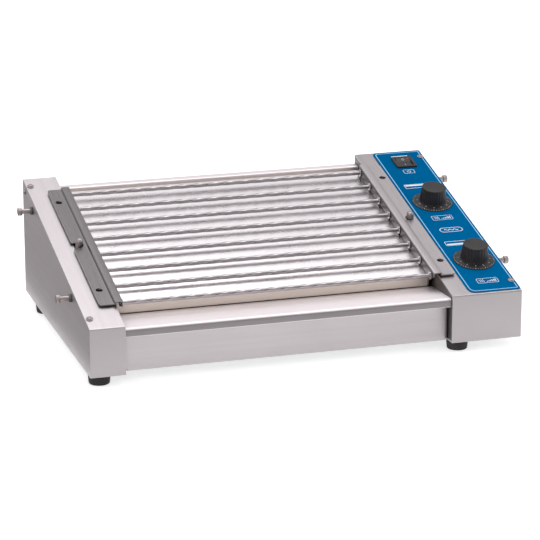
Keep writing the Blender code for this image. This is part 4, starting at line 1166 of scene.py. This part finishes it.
def finish_frame_nodes():
    """Gives the nodes that keep their CAD shape, all inside the housings, their finishes."""
    turned_nodes = ("cross_shaft", "crank")
    for name, node in NODES.items():
        if node.hide_render:
            continue
        finish = "turned_steel_x" if name in turned_nodes else SLOT_OF[name]
        node.data.materials.clear()
        node.data.materials.append(MATERIALS[finish])


# ---------------------------------------------------------------- studio

def card(name, half_side):
    """A flat square in the XY plane that belongs to the studio, in the material of its name."""
    bm = bmesh.new()
    bmesh.ops.create_grid(bm, x_segments=1, y_segments=1, size=half_side)
    thing = link(name, mesh_from(bm, name), name)
    return thing


def build_floor():
    shader = Shader("studio_floor")
    mottle = shader.noise(3, detail=2.0)
    tint = shader.blend(mottle, (0.74, 0.74, 0.74), (0.77, 0.77, 0.77))
    shader.set(Base_Color=tint, Roughness=0.9, Specular_IOR_Level=0.1)
    shader.set(Emission_Color=(1, 1, 1, 1), Emission_Strength=FLOOR_GLOW)
    card("studio_floor", FLOOR_SIZE)


def build_flag():
    """A grey card on the floor at the left that only reflections see."""
    shader = Shader("left_flag")
    shader.nodes.clear()
    colour = (*scaled((1, 0.97, 0.98), FLAG_BRIGHTNESS), 1)
    glow = shader.add("Emission", {"Color": colour})
    shader.add("OutputMaterial", {"Surface": glow.outputs[0]})
    flag = card("left_flag", 0.5)
    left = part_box("left_side_panel")[0].x
    flag.location = (left - FLAG_FROM_SIDE, FLAG_BACK, 2 * MM)
    flag.scale = (*FLAG_SIZE, 1)
    flag.visible_camera = False
    flag.visible_diffuse = False
    flag.visible_shadow = False


def build_light(name, place, size, power):
    light = bpy.data.lights.new(name, "AREA")
    light.shape = "RECTANGLE"
    light.size, light.size_y = size
    light.energy = power
    thing = bpy.data.objects.new(name, light)
    thing.location = place
    aim = Vector(LIGHT_TARGET) - Vector(place)
    thing.rotation_euler = aim.to_track_quat("-Z", "Y").to_euler()
    bpy.context.scene.collection.objects.link(thing)


def build_world():
    """White to the camera. All else sees a vertical gradient that is dimmer in front."""
    world = bpy.data.worlds.new("studio")
    bpy.context.scene.world = world
    world.use_nodes = True
    nodes, links = world.node_tree.nodes, world.node_tree.links
    nodes.clear()
    direction = nodes.new("ShaderNodeTexCoord")
    split = nodes.new("ShaderNodeSeparateXYZ")
    links.new(direction.outputs["Generated"], split.inputs[0])

    ramp = nodes.new("ShaderNodeValToRGB")
    elements = ramp.color_ramp.elements
    while len(elements) < len(SKY_STOPS):
        elements.new(0.5)
    for element, (position, value) in zip(elements, SKY_STOPS):
        element.position = position
        element.color = (*scaled((1, 0.985, 0.99), value), 1)
    links.new(split.outputs["Z"], ramp.inputs[0])

    dimmer = nodes.new("ShaderNodeMapRange")
    dimmer.inputs["From Min"].default_value = FRONT_RANGE[0]
    dimmer.inputs["From Max"].default_value = FRONT_RANGE[1]
    dimmer.inputs["To Min"].default_value = FRONT_DIMMING
    links.new(split.outputs["Y"], dimmer.inputs["Value"])

    lit = nodes.new("ShaderNodeBackground")
    links.new(dimmer.outputs["Result"], lit.inputs["Strength"])
    links.new(ramp.outputs[0], lit.inputs["Color"])
    seen = nodes.new("ShaderNodeBackground")
    seen.inputs["Color"].default_value = (1, 1, 1, 1)
    path = nodes.new("ShaderNodeLightPath")
    mix = nodes.new("ShaderNodeMixShader")
    output = nodes.new("ShaderNodeOutputWorld")
    links.new(path.outputs["Is Camera Ray"], mix.inputs[0])
    links.new(lit.outputs[0], mix.inputs[1])
    links.new(seen.outputs[0], mix.inputs[2])
    links.new(mix.outputs[0], output.inputs[0])


def build_studio():
    build_floor()
    build_world()
    for name, (place, size, power) in LIGHTS.items():
        build_light(name, place, size, power)
    build_flag()
    bpy.context.scene.view_settings.view_transform = "Standard"
    bpy.context.scene.view_settings.look = "None"


def build_camera():
    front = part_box("left_top_cover")[0].y
    target = Vector((CAMERA_FROM_CENTRE, front, CAMERA_ABOVE_FLOOR))
    back = Vector((
        math.sin(CAMERA_AZIMUTH) * math.cos(CAMERA_ELEVATION),
        -math.cos(CAMERA_AZIMUTH) * math.cos(CAMERA_ELEVATION),
        math.sin(CAMERA_ELEVATION),
    ))
    data = bpy.data.cameras.new("camera")
    data.lens = CAMERA_LENS
    data.sensor_width = CAMERA_SENSOR
    camera = bpy.data.objects.new("camera", data)
    camera.location = target + back * CAMERA_DISTANCE
    camera.rotation_euler = (-back).to_track_quat("-Z", "Y").to_euler()
    bpy.context.scene.collection.objects.link(camera)
    bpy.context.scene.camera = camera


make_materials()
build_sheet_metal()
build_griddle()
build_corral()
for knob_end in ENDS:
    build_knob(knob_end)
build_switch()
build_label()
build_small_parts()
finish_frame_nodes()
build_studio()
build_camera()
